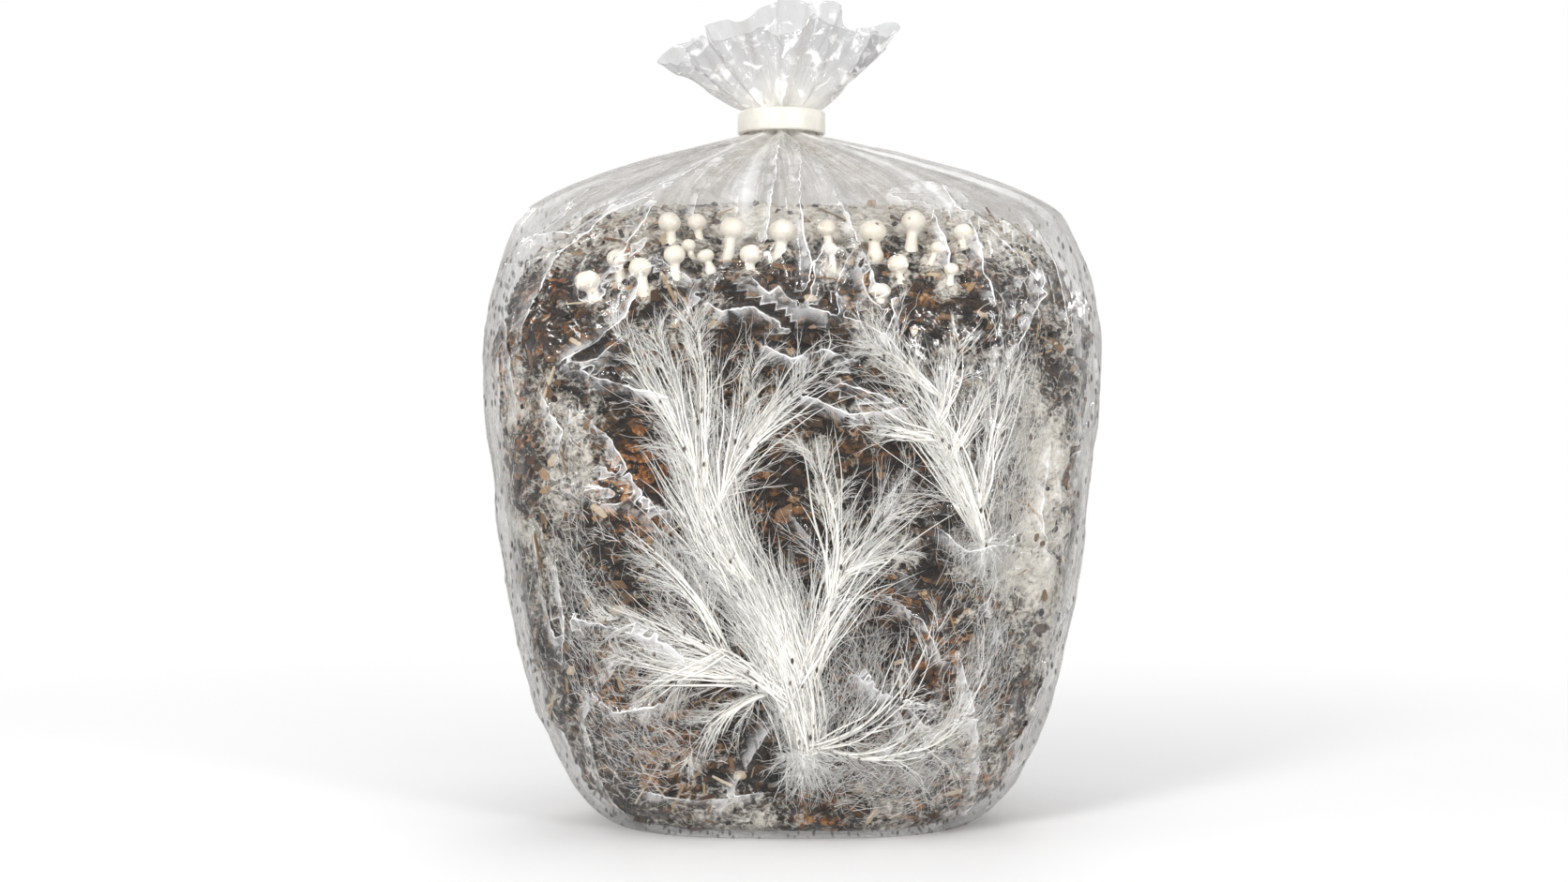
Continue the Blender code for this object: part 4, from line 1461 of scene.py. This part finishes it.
    def build(self) -> Piece:
        """Grows the fan.

        Returns:
            The finished piece.
        """
        for arc in self.plan.arcs:
            self.spin_out(self.cords(arc))
            self.spin_out(self.ropes(arc))
            sprays = self.sprays(arc)
            self.spin_out(sprays)
            fine = self.forks(sprays, 4.0, 6)
            self.spin_out(fine)
            self.spin_out(self.forks(fine, 1.2, 2))
        if not self.plan.node.endswith("_fork"):
            burst = self.boss(self.plan.arcs[0])
            self.spin_out(burst)
            self.spin_out(self.forks(burst, 5.0, 5))
        for veil in self.plan.veils:
            self.spin_out(self.loose(veil))
        mesh = bpy.data.meshes.new(self.plan.node + "_threads")
        points = np.concatenate(self.points)
        corners = np.concatenate([face.ravel() for face in self.faces])
        sizes = np.concatenate([np.full(len(face), face.shape[1]) for face in self.faces])
        mesh.vertices.add(len(points))
        mesh.vertices.foreach_set("co", points.ravel())
        mesh.loops.add(len(corners))
        mesh.loops.foreach_set("vertex_index", corners.astype(np.int32))
        mesh.polygons.add(len(sizes))
        mesh.polygons.foreach_set("loop_start", (np.cumsum(sizes) - sizes).astype(np.int32))
        mesh.update(calc_edges=True)
        mesh.validate()
        mark(mesh, "tone", np.clip(np.concatenate(self.tones), 0, 1))
        mesh.shade_smooth()
        fan = bpy.data.objects.new(mesh.name, mesh)
        bpy.context.collection.objects.link(fan)
        dress(fan, self.finish, "mycelium_felt", self.plan.node)
        return fan


FANS: tuple[FanPlan, ...] = (
    FanPlan(
        "mycelium_front_trunk",
        Facing.FRONT,
        (
            Arc(0.04, 0.17, -2, 0.048, -38, 0.0046, 0.0072), Arc(0.00, 0.33, -22, 0.034, -10, 0.0060, 0.0056),
            Arc(-0.15, 0.50, -34, 0.041, 23, 0.0074, 0.0018), Arc(-0.30, 0.72, -22, 0.037, -19, 0.0016, 0.0006),
            Arc(-0.29, 0.69, 6, 0.038, -18, 0.0016, 0.0006), Arc(-0.31, 0.72, -8, 0.033, -17, 0.0012, 0.0006),
            Arc(-0.23, 0.66, 12, 0.033, 4, 0.0011, 0.0006), Arc(-0.26, 0.64, 20, 0.045, 37, 0.0016, 0.0006),
        ),
        0.86,
        (Veil(2, 26, 9, 8, 500), Veil(-18, 60, 12, 16, 500)),
    ),
    FanPlan(
        "mycelium_front_left_fork",
        Facing.FRONT,
        (
            Arc(0.00, 0.28, -54, 0.052, -28, 0.0022, 0.0006), Arc(-0.21, 0.38, -117, 0.026, -3, 0.0012, 0.0006),
            Arc(-0.21, 0.38, -23, 0.037, -47, 0.0014, 0.0006), Arc(-0.16, 0.33, -86, 0.036, 10, 0.0012, 0.0006),
            Arc(-0.08, 0.30, -98, 0.025, -62, 0.0012, 0.0006),
        ),
        0.9,
        (Veil(-54, 50, 12, 34, 520, -50), Veil(-34, 22, 20, 12, 420, -70)),
    ),
    FanPlan(
        "mycelium_front_right_fork",
        Facing.FRONT,
        (
            Arc(0.03, 0.30, 8, 0.053, 42, 0.0030, 0.0006), Arc(0.12, 0.48, 5, 0.037, -28, 0.0012, 0.0006),
            Arc(0.16, 0.53, 63, 0.016, 15, 0.0012, 0.0006),
        ),
        0.9,
        (Veil(14, 36, 8, 16, 400),),
    ),
    FanPlan(
        "mycelium_front_foot_fork",
        Facing.FRONT,
        (
            Arc(0.05, 0.19, 85, 0.048, -80, 0.0010, 0.0006), Arc(0.13, 0.19, 112, 0.052, -100, 0.0006, 0.0006),
        ),
        0.6,
        (Veil(22, 14, 24, 8, 800, 65), Veil(48, 36, 12, 20, 800, 40)),
    ),
    FanPlan(
        "mycelium_front_upper_fan",
        Facing.FRONT,
        (
            Arc(0.65, 0.58, -22, 0.053, -18, 0.0034, 0.0009), Arc(0.475, 0.868, -54, 0.021, 1, 0.0010, 0.0006),
            Arc(0.45, 0.82, 32, 0.020, -27, 0.0013, 0.0006), Arc(0.51, 0.75, 32, 0.020, 0, 0.0014, 0.0006),
            Arc(0.46, 0.79, -84, 0.019, 12, 0.0012, 0.0006), Arc(0.628, 0.655, 10, 0.033, 12, 0.0013, 0.0006),
        ),
        1.0,
        (Veil(52, 86, 12, 26, 520, 15), Veil(46, 62, 12, 12, 300, 30)),
    ),
    FanPlan(
        "mycelium_back_fan",
        Facing.BACK,
        (
            Arc(0.09, 0.18, -11, 0.080, 41, 0.0050, 0.0009), Arc(0.04, 0.39, -49, 0.063, 38, 0.0024, 0.0006),
            Arc(0.07, 0.54, -12, 0.042, 0, 0.0016, 0.0006), Arc(0.11, 0.59, 80, 0.040, -55, 0.0014, 0.0006),
            Arc(0.03, 0.32, 66, 0.039, 5, 0.0015, 0.0006), Arc(0.06, 0.30, -94, 0.039, 44, 0.0014, 0.0006),
        ),
        0.6,
        (Veil(-40, 60, 22, 40, 900), Veil(44, 40, 18, 30, 900)),
    ),
    FanPlan(
        "mycelium_right_side_fan",
        Facing.RIGHT,
        (
            Arc(-0.08, 0.27, 4, 0.070, 12, 0.0036, 0.0008), Arc(-0.04, 0.48, -45, 0.039, 41, 0.0016, 0.0006),
            Arc(0.02, 0.61, 82, 0.027, -58, 0.0015, 0.0006),
        ),
        0.7,
        (Veil(-6, 60, 24, 40, 1000),),
    ),
    FanPlan(
        "mycelium_left_side_fan",
        Facing.LEFT,
        (
            Arc(0.12, 0.23, -17, 0.064, 11, 0.0034, 0.0008), Arc(0.02, 0.45, 45, 0.037, -27, 0.0015, 0.0006),
            Arc(-0.06, 0.55, -67, 0.035, 71, 0.0014, 0.0006),
        ),
        0.7,
        (Veil(6, 60, 24, 40, 1000),),
    ),
)


@dataclass
class GrowthMap:
    """How thickly threads cover the block, on a chart of turn and height."""

    turns: int = 240
    levels: int = 90
    top: float = 0.15
    full_at: int = 93

    def __post_init__(self) -> None:
        """Starts with an empty chart."""
        self.chart = np.zeros((self.turns, self.levels))

    def add(self, points: Array) -> None:
        """Counts thread points into the chart."""
        turn = np.arctan2(points[:, 0], -points[:, 1]) % math.tau
        across = np.minimum((turn / math.tau * self.turns).astype(int), self.turns - 1)
        level = np.clip((points[:, 2] / self.top * self.levels).astype(int), 0, self.levels - 1)
        np.add.at(self.chart, (across, level), 1.0)

    def settle(self) -> None:
        """Smooths the chart and scales it to 0..1."""
        chart = self.chart
        for _ in range(3):
            chart = (np.roll(chart, 1, 0) + 2 * chart + np.roll(chart, -1, 0)) / 4
            padded = np.pad(chart, ((0, 0), (1, 1)), mode="edge")
            chart = (padded[:, :-2] + 2 * chart + padded[:, 2:]) / 4
        self.chart = np.clip(chart / np.percentile(chart, self.full_at), 0, 1)

    def at(self, point: Vector) -> float:
        """The cover at a place."""
        across = int(math.atan2(point.x, -point.y) % math.tau / math.tau * self.turns) % self.turns
        level = min(self.levels - 1, max(0, int(point.z / self.top * self.levels)))
        return float(self.chart[across, level])


@dataclass(frozen=True)
class Bloom:
    """A patch of thin white growth on the front of the block: its middle, half sizes and strength."""

    x: float
    z: float
    wide: float
    tall: float
    strength: float

    def at(self, point: Vector) -> float:
        """The growth that it gives at a place."""
        away = math.hypot((point.x - self.x) / self.wide, (point.z - self.z) / self.tall)
        return self.strength * clamped(1.5 - away)


@dataclass(frozen=True)
class BitKind:
    """One kind of loose bit: how many, its sizes in mm, its tones with their shares, and how far it is sunk, in mm.

    One size is taken for all three axes, a little uneven. An upright shape is laid along its first axis.
    """

    count: int
    sizes: tuple[tuple[float, float], ...]
    tones: tuple[float, ...]
    shares: tuple[float, ...]
    sink: float = 0.0
    upright: bool = False

    def draw(self, rng: np.random.Generator) -> tuple[Array, float]:
        """Draws one bit's size along three axes, and its tone."""
        size = np.array([rng.uniform(low, high) for low, high in self.sizes]) * MM
        if len(self.sizes) == 1:
            size = size * rng.uniform(0.7, 1.2, 3)
        return size, rng.choice(self.tones, p=self.shares)


class Bit(Enum):
    """The kinds of bits in the compost."""

    CRUMB = BitKind(2700, ((0.35, 1.1),), (0.1, 0.25, 0.4, 0.55, 0.7), (0.36, 0.28, 0.18, 0.12, 0.06), 0.25)
    CHIP = BitKind(
        560, ((1.6, 4.6), (0.9, 2.2), (0.35, 0.7)), (0.2, 0.45, 0.6, 0.75, 0.88), (0.26, 0.26, 0.22, 0.16, 0.10)
    )
    STRAW = BitKind(
        300, ((3.0, 9.0), (0.35, 0.9), (0.25, 0.5)), (0.4, 0.62, 0.78, 0.92), (0.24, 0.3, 0.28, 0.18), upright=True
    )


@dataclass
class CompostBlock:
    """The block of compost: its skin, with every lump, and the loose bits that stand out of it.

    The white haze and the front each begin at a place and are whole after a run, both in metres. The growth on the
    sides is given for the right and the left.
    """

    finish: CompostFinish
    bits_finish: BitsFinish
    base: float = 0.9 * MM
    lump_height: float = 2.6 * MM
    lump_size: float = 11 * MM
    columns: int = 340
    wall_rows: int = 100
    crown_rows: int = 56
    push: float = 1.7 * MM
    pin_reach: float = 3.0 * MM
    haze_behind: tuple[float, float] = (-0.036, 0.014)
    haze_above: tuple[float, float] = (0.116, 0.018)
    front: tuple[float, float] = (-0.024, 0.012)
    side_growth: tuple[float, float] = (0.72, 0.60)
    blooms: tuple[Bloom, ...] = (
        Bloom(-0.050, 0.082, 0.012, 0.030, 0.70), Bloom(-0.034, 0.024, 0.022, 0.012, 0.55),
        Bloom(0.053, 0.076, 0.016, 0.032, 1.10), Bloom(0.032, 0.019, 0.027, 0.011, 0.80),
        Bloom(0.0, 0.006, 0.060, 0.008, 0.50), Bloom(-0.060, 0.030, 0.010, 0.030, 0.55),
        Bloom(-0.030, 0.112, 0.018, 0.010, 0.30), Bloom(0.058, 0.120, 0.012, 0.014, 0.45),
        Bloom(0.064, 0.080, 0.008, 0.052, 1.05), Bloom(-0.064, 0.095, 0.006, 0.040, 0.80),
    )

    def lump(self, point: Vector) -> float:
        """How far the block is drawn in at a point."""
        rough = noise.fractal(point / self.lump_size, 0.6, 2.0, 3)
        return self.lump_height * clamped(0.5 - 0.8 * rough)

    def crumb_relief(self, point: Vector) -> float:
        """Fine relief of crumbs and pits, in metres."""
        chunk = noise.voronoi(point * 140 + Vector((5, 2, 9)))[0]
        cell = noise.voronoi(point * 330)[0]
        fine = noise.fractal(point * 420, 0.8, 2.0, 2)
        return 1.2 * MM * min(1.0, chunk[0] * 1.2) ** 1.5 + 0.6 * MM * min(1.0, cell[0] * 1.3) + 0.2 * MM * (fine + 0.5)

    def rows(self) -> list[tuple]:
        """Sections from the base to the top: half width, half depth, squareness, height and share of the crown."""
        made = []
        for share in np.linspace(0, 1, self.wall_rows) ** 1.6:
            height = self.base + share * (FORM.fill - self.base)
            half_width, half_depth, square = FORM.section(height - self.base)
            made.append((half_width - FORM.inset, half_depth - FORM.inset, square, height, 0.0))
        wide, deep, square, _, _ = made[-1]
        for share in np.linspace(0, 1, self.crown_rows + 1)[1:]:
            share = 1 - (1 - share) ** 1.5
            side, front = (1 - share**2) ** 0.15, (1 - share) ** 0.5
            height = blend(FORM.fill, FORM.crown_top, share)
            made.append((wide * side, deep * front, blend(square, 2.4, share), height, share))
        return made

    def skin(self, chart: GrowthMap) -> Piece:
        """Models the block's lumpy skin, pressed out to the film wherever no threads lie over it.

        Args:
            chart: Where threads lie on it.

        Returns:
            The piece, not yet dressed.
        """
        turn = np.linspace(0, math.tau, self.columns + 1)
        rings = []
        for half_width, half_depth, square, height, crown in self.rows():
            ring = FORM.around(turn, half_width, half_depth, square, height)
            drawn = field_of(ring, lambda point: self.lump(point) + self.crumb_relief(point))
            push = self.push * min(1, height / 0.012) * max(0, 1 - crown / 0.45)
            drawn = drawn - push * (1 - field_of(ring, chart.at))
            fade = np.clip(np.hypot(ring[:, 0], ring[:, 1]) / 0.006, 0, 1)
            ring = ring - (drawn * fade)[:, None] * away_from_axis(ring)
            if crown:
                low = field_of(ring, lambda point: self.lump(1.3 * point) + self.crumb_relief(1.2 * point))
                ring[:, 2] -= low * (1 - 0.85 * field_of(ring, self.by_pins))
            rings.append(ring)
        foot = [rings[0] * (share, share, 1) for share in (0, 0.5)]
        top = np.broadcast_to(rings[-1].mean(axis=0), rings[-1].shape)
        places = np.array([*foot, *rings, top])
        places[:, -1] = places[:, 0]
        return sheet_over("compost_block_skin", places)

    def by_pins(self, point: Vector) -> float:
        """How close a point of the crown is to a pin's stem, 0 to 1."""
        half_width, half_depth, _ = FORM.section(FORM.fill)
        wide, deep = half_width - FORM.inset, half_depth - FORM.inset
        away = min(math.hypot(point.x - pin.across * wide, point.y + pin.along * deep) for pin in PINS)
        return clamped(1.5 - away / self.pin_reach)

    def growth(self, point: Vector, chart: GrowthMap) -> float:
        """How white the block is at a point: under the fans, in a haze on its crown and in patches on its sides."""
        rough = 0.6 * noise.noise(point * 60) + 0.4 * noise.noise(point * 170)
        haze = clamped((point.y - self.haze_behind[0]) / self.haze_behind[1])
        haze *= clamped((point.z - self.haze_above[0]) / self.haze_above[1])
        crown = haze * (0.80 + 0.6 * rough)
        front = clamped((self.front[0] - point.y) / self.front[1])
        right, left = self.side_growth
        spread = (right if point.x > 0 else left) + 0.5 * noise.noise(point * 26 + Vector((3, 1, 7)))
        spread = blend(spread, max(patch.at(point) for patch in self.blooms), front)
        tuft = self.by_pins(point) * (0.72 + 0.7 * rough) if point.z > FORM.fill else 0.0
        return clamped(max(0.55 * chart.at(point), crown, tuft, spread * (0.75 + 0.9 * rough)))

    def build(self, chart: GrowthMap) -> tuple[Piece, Piece]:
        """Models the block.

        Args:
            chart: Where threads lie on it.

        Returns:
            The skin, and the loose bits.
        """
        skin = self.skin(chart)
        values = np.fromiter((self.growth(vertex.co, chart) for vertex in skin.data.vertices), float)
        mark(skin.data, "growth", values)
        dress(skin, self.finish.make(), "compost", "compost_block")
        bits = self.scatter(skin)
        return skin, bits

    def bit_shapes(self) -> dict[Bit, tuple[Array, list[tuple[int, ...]]]]:
        """Models one bit of each kind, to be copied.

        Returns:
            Points and faces of each.
        """
        shapes = {}
        deselect_all()
        bpy.ops.mesh.primitive_ico_sphere_add(subdivisions=1, radius=1)
        shapes[Bit.CRUMB] = self.take(bpy.context.active_object)
        bpy.ops.mesh.primitive_cube_add(size=1)
        in_edit_mode(bpy.context.active_object)
        bpy.ops.mesh.bevel(offset=0.12, segments=1, affect="EDGES")
        bpy.ops.mesh.vertices_smooth(factor=0.2)
        shapes[Bit.CHIP] = self.take(bpy.context.active_object)
        bpy.ops.mesh.primitive_cylinder_add(vertices=6, radius=0.5, depth=1)
        in_edit_mode(bpy.context.active_object)
        bpy.ops.mesh.subdivide(number_cuts=1)
        shapes[Bit.STRAW] = self.take(bpy.context.active_object)
        return shapes

    def take(self, piece: Piece) -> tuple[Array, list[tuple[int, ...]]]:
        """Takes a model's points and faces, and removes it."""
        if bpy.context.mode != "OBJECT":
            bpy.ops.object.mode_set(mode="OBJECT")
        points = np.array([vertex.co[:] for vertex in piece.data.vertices])
        faces = [tuple(face.vertices) for face in piece.data.polygons]
        bpy.data.objects.remove(piece)
        return points, faces

    def scatter(self, skin: Piece) -> Piece:
        """Sets copies of the bits into the block's skin, as one piece.

        Args:
            skin: The finished skin.

        Returns:
            The finished piece.
        """
        rng = np.random.default_rng(29)
        polygons = skin.data.polygons
        centres, normals, areas = np.empty((len(polygons), 3)), np.empty((len(polygons), 3)), np.empty(len(polygons))
        for name, values in (("center", centres), ("normal", normals), ("area", areas)):
            polygons.foreach_get(name, values.ravel())
        areas[centres[:, 2] < 3 * MM] = 0
        cover = np.empty(len(skin.data.vertices))
        skin.data.attributes["growth"].data.foreach_get("value", cover)
        areas *= np.clip([1 - 0.8 * cover[face.vertices[0]] for face in polygons], 0.1, 1)
        chance = areas / areas.sum()
        points, faces, tones, count = [], [], [], 0
        for bit, (shape, shape_faces) in self.bit_shapes().items():
            kind = bit.value
            for pick in rng.choice(len(centres), kind.count, p=chance):
                size, tone = kind.draw(rng)
                out = normals[pick] + rng.normal(0, 0.18, 3)
                out /= np.linalg.norm(out)
                along = np.cross(out, rng.normal(0, 1, 3))
                along /= np.linalg.norm(along)
                body = shape * (1 + rng.normal(0, 0.12, shape.shape))
                body = body[:, [2, 0, 1]] if kind.upright else body
                placed = (body * size) @ np.stack([along, np.cross(out, along), out])
                points.append(placed + centres[pick] - kind.sink * MM * out)
                faces += [tuple(index + count for index in face) for face in shape_faces]
                tones.append(np.full(len(placed), tone))
                count += len(placed)
        mesh = bpy.data.meshes.new("compost_bits")
        mesh.from_pydata(np.concatenate(points).tolist(), [], faces)
        mark(mesh, "tone", np.concatenate(tones))
        bits = bpy.data.objects.new(mesh.name, mesh)
        bpy.context.collection.objects.link(bits)
        dress(bits, self.bits_finish.make(), "compost", "compost_block")
        return bits


@dataclass(frozen=True)
class Pin:
    """One young mushroom: its place as shares of the crown's half sizes, cap radius, height and lean in degrees."""

    across: float
    along: float
    cap: float
    height: float
    lean: float


PINS: tuple[Pin, ...] = (
    Pin(-0.64, 0.78, 0.0027, 0.0066, -20), Pin(-0.56, 0.70, 0.0021, 0.0060, -11),
    Pin(-0.48, 0.78, 0.0024, 0.0076, -10), Pin(-0.38, 0.75, 0.0022, 0.0074, -2), Pin(-0.40, 0.54, 0.0023, 0.0066, -5),
    Pin(-0.31, 0.51, 0.0020, 0.0058, -6), Pin(-0.33, 0.63, 0.0015, 0.0042, -16), Pin(-0.21, 0.60, 0.0025, 0.0088, 6),
    Pin(-0.27, 0.69, 0.0018, 0.0042, -20), Pin(-0.14, 0.70, 0.0023, 0.0062, 3), Pin(-0.04, 0.59, 0.0028, 0.0078, 5),
    Pin(0.12, 0.60, 0.0020, 0.0070, -6), Pin(0.13, 0.69, 0.0014, 0.0046, -6), Pin(0.27, 0.64, 0.0028, 0.0074, -5),
    Pin(0.35, 0.73, 0.0022, 0.0062, -7), Pin(0.39, 0.57, 0.0026, 0.0090, 5), Pin(0.45, 0.66, 0.0015, 0.0056, 22),
    Pin(0.56, 0.53, 0.0020, 0.0056, 4), Pin(0.28, 0.84, 0.0021, 0.0048, 2), Pin(0.51, 0.75, 0.0015, 0.0044, 6),
    Pin(-0.52, -0.50, 0.0024, 0.0066, -8), Pin(-0.12, -0.60, 0.0027, 0.0076, 6), Pin(0.22, -0.48, 0.0022, 0.0062, -5),
    Pin(0.48, -0.58, 0.0025, 0.0070, 10),
)


@dataclass
class PinMushrooms:
    """The young mushrooms on the crown, each one growth of cap and stem."""

    finish: FleshFinish
    pins: tuple[Pin, ...] = PINS
    root: float = 3.0 * MM
    columns: int = 20
    cap_share: float = 1.07
    stem_share: float = 0.47
    cap_angles: tuple[int, ...] = (150, 136, 122, 108, 94, 80, 66, 52, 38, 24, 11)
    uneven: float = 0.07
    lean_shares: tuple[float, float] = (0.85, 0.3)

    def outline(self, pin: Pin, root: float) -> Array:
        """Half the outline of a pin, from its root up to the top of its cap.

        Args:
            pin: The pin.
            root: How far it reaches down under its seat.

        Returns:
            Rows of (radius, height).
        """
        cap, stem = self.cap_share * pin.cap, self.stem_share * pin.cap
        brim = max(0.3 * pin.height, pin.height - 1.8 * cap)
        half = (pin.height - brim) / 2
        rows = [(1e-6, -root), (1.35 * stem, -root), (1.45 * stem, -0.3 * MM), (1.15 * stem, 0.25 * brim)]
        rows += [(1.0 * stem, 0.6 * brim), (1.0 * stem, 0.95 * brim)]
        for angle in np.radians(self.cap_angles):
            rows.append((cap * math.sin(angle), brim + half * (1 - math.cos(math.pi - angle))))
        rows.append((1e-6, pin.height))
        return np.array(rows)

    def shape(self, pin: Pin, root: float, number: int) -> Array:
        """A pin's skin, slightly uneven, and leaning more the higher it gets.

        Args:
            pin: The pin.
            root: How far it reaches down under its seat.
            number: Which one it is.

        Returns:
            Points of shape (rows, columns + 1, 3), about its seat.
        """
        rows = self.outline(pin, root)
        turn = np.linspace(0, math.tau, self.columns + 1)
        radius, height = rows[:, :1], rows[:, 1:]
        places = np.stack(np.broadcast_arrays(radius * np.cos(turn), radius * np.sin(turn), height), axis=-1)
        seed = Vector((number * 1.7, number * 0.9, 0))
        swell = field_of(places, lambda point: noise.noise(point * 260 + seed) + 0.4 * noise.noise(point * 700 + seed))
        places = places * (1 + self.uneven * swell[..., None] * np.array([1, 1, 0.5]))
        lean = math.radians(pin.lean)
        low, more = self.lean_shares
        bent = lean * np.clip(places[..., 2] / pin.height, 0, 1) * more + lean * low
        x, z = places[..., 0].copy(), places[..., 2].copy()
        places[..., 0] = x * np.cos(bent) + z * np.sin(bent)
        places[..., 2] = -x * np.sin(bent) + z * np.cos(bent)
        places[:, -1] = places[:, 0]
        return places

    def build(self, skin: Piece) -> list[Piece]:
        """Stands the pins on the crown.

        Args:
            skin: The block's skin.

        Returns:
            The finished pieces.
        """
        crown = BVHTree.FromObject(skin, bpy.context.evaluated_depsgraph_get())
        material = self.finish.make()
        half_width, half_depth, _ = FORM.section(FORM.fill)
        half_width, half_depth = half_width - FORM.inset, half_depth - FORM.inset
        made = []
        for number, pin in enumerate(self.pins, start=1):
            node = f"pin_mushroom_{number:02d}"
            above = Vector((pin.across * half_width, -pin.along * half_depth, FORM.collar_base))
            seat, _, _, _ = crown.ray_cast(above, Vector((0, 0, -1)))
            ground, (_, high) = seat.z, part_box(node)
            lean = math.radians(pin.lean)
            seat.z = high[2] - pin.height * math.cos(lean) - abs(pin.cap * math.sin(lean)) * 0.4
            places = self.shape(pin, max(self.root, seat.z - ground + 2 * MM), number)
            piece = sheet_over(node + "_flesh", places + np.array(seat))
            dress(piece, material, "pin_flesh", node)
            made.append(piece)
        return made


@dataclass(frozen=True)
class Lamp:
    """An area lamp that looks at the bag: its name, place, width and height in metres, and power in watts."""

    name: str
    place: Triple
    size: tuple[float, float]
    power: float
    aim: Triple = (0, 0, 0.09)

    def hang(self) -> Piece:
        """Hangs the lamp.

        Returns:
            The lamp.
        """
        data = bpy.data.lights.new(self.name, "AREA")
        data.shape = "RECTANGLE"
        data.size, data.size_y, data.energy = *self.size, self.power
        lamp = bpy.data.objects.new(self.name, data)
        bpy.context.collection.objects.link(lamp)
        lamp.location = self.place
        lamp.rotation_euler = (Vector(self.aim) - Vector(self.place)).to_track_quat("-Z", "Y").to_euler()
        return lamp


@dataclass
class Stage:
    """A pale floor, soft lamps, a white surround and the camera at the photo's angle."""

    camera_place: Triple = (-0.0019, -0.520, 0.0880)
    lens: float = 50.8
    surround: float = 0.50
    floor_fade: tuple[float, float] = (0.12, 0.42)
    lamps: tuple[Lamp, ...] = (
        Lamp("key", (-0.45, -0.80, 0.50), (0.20, 0.28), 6.0), Lamp("fill", (0.60, -0.75, 0.30), (0.18, 0.26), 4.0),
        Lamp("top", (0.05, -0.05, 0.95), (0.40, 0.40), 0.8),
    )
    back: Lamp = Lamp("back", (0.15, 0.90, 0.55), (0.5, 0.5), 3.0)
    glints: tuple[Triple, ...] = (
        (-0.30, -0.85, 0.40), (0.30, -0.88, 0.28), (0.05, -0.80, 0.66), (-0.70, -0.60, 0.25), (0.70, -0.55, 0.55),
        (-0.40, 0.80, 0.45), (0.85, 0.30, 0.35),
    )

    def floor(self) -> None:
        """Lays the floor, which turns plain white away from the bag."""
        deselect_all()
        bpy.ops.mesh.primitive_plane_add(size=8, location=(0, 0, 0))
        floor = bpy.context.active_object
        floor.name = "pale_floor"
        material, bench, shader = Finish("pale_floor", (0.92, 0.92, 0.92), 0.7).start()
        place = bench.place()
        colour = bench.mix(bench.noise(place, 12.0, 3.0), (0.90, 0.90, 0.90), (0.94, 0.94, 0.94))
        bench.feed(shader.inputs["Base Color"], colour)
        away = bench.wire("ShaderNodeVectorMath", {0: place}, "Value", operation="LENGTH")
        far = bench.between(away, *self.floor_fade)
        plain = bench.wire("ShaderNodeEmission", {"Color": (1, 1, 1, 1), "Strength": 1.0})
        share = far * bench.looked_at()
        bench.surface(bench.wire("ShaderNodeMixShader", {0: share, 1: shader.outputs[0], 2: plain}))
        floor.data.materials.append(material)

    def world(self) -> None:
        """Makes the surround: white to look at, and a plain grey as light."""
        world = bpy.data.worlds.new("surround")
        bpy.context.scene.world = world
        world.use_nodes = True
        bench = Bench(world.node_tree)
        strength = bench.between(bench.looked_at(), 0.0, 1.0, self.surround, 1.0)
        bench.fill(world.node_tree.nodes["Background"], {"Color": (1, 1, 1, 1), "Strength": strength})

    def build(self) -> None:
        """Sets the whole stage."""
        self.floor()
        self.world()
        for lamp in self.lamps:
            lamp.hang()
        self.back.hang().visible_glossy = False
        for number, place in enumerate(self.glints):
            Lamp(f"glint_{number}", place, (0.03, 0.12), 1.2).hang().visible_diffuse = False
        data = bpy.data.cameras.new("camera")
        data.sensor_width = 36
        data.lens = self.lens
        camera = bpy.data.objects.new("camera", data)
        bpy.context.collection.objects.link(camera)
        camera.location = self.camera_place
        camera.rotation_euler = (math.pi / 2, 0, 0)
        bpy.context.scene.camera = camera
        bpy.context.scene.view_settings.view_transform = "Standard"


def main() -> None:
    """Builds the bag from the inside out, then sets the stage."""
    logging.basicConfig(level=logging.INFO, format="%(message)s")
    groups = {"specks": specks_group(), "tone": mottle_group()}
    threads = MyceliumFinish("mycelium_white", (0.85, 0.82, 0.76), 0.7, groups).make()
    chart = GrowthMap()
    for number, plan in enumerate(FANS):
        fan = MyceliumFan(plan, threads, FIRST_SEED + number)
        fan.build()
        chart.add(np.concatenate(fan.points))
    chart.settle()
    block = CompostBlock(
        CompostFinish("compost_dark", (0.05, 0.03, 0.02), 0.8, groups),
        BitsFinish("compost_bits", (0.1, 0.06, 0.03), 0.7, groups),
    )
    skin, _ = block.build(chart)
    PinMushrooms(FleshFinish("pin_cream", (0.88, 0.82, 0.72), 0.5, groups)).build(skin)
    CollarRing(PlasticFinish("ivory_satin", (0.88, 0.85, 0.77), 0.38, groups)).build()
    FilmBag(FilmFinish("film_clear", (0.95, 0.96, 0.965), 0.05, groups)).build()
    Stage().build()


if __name__ == "__main__":
    main()
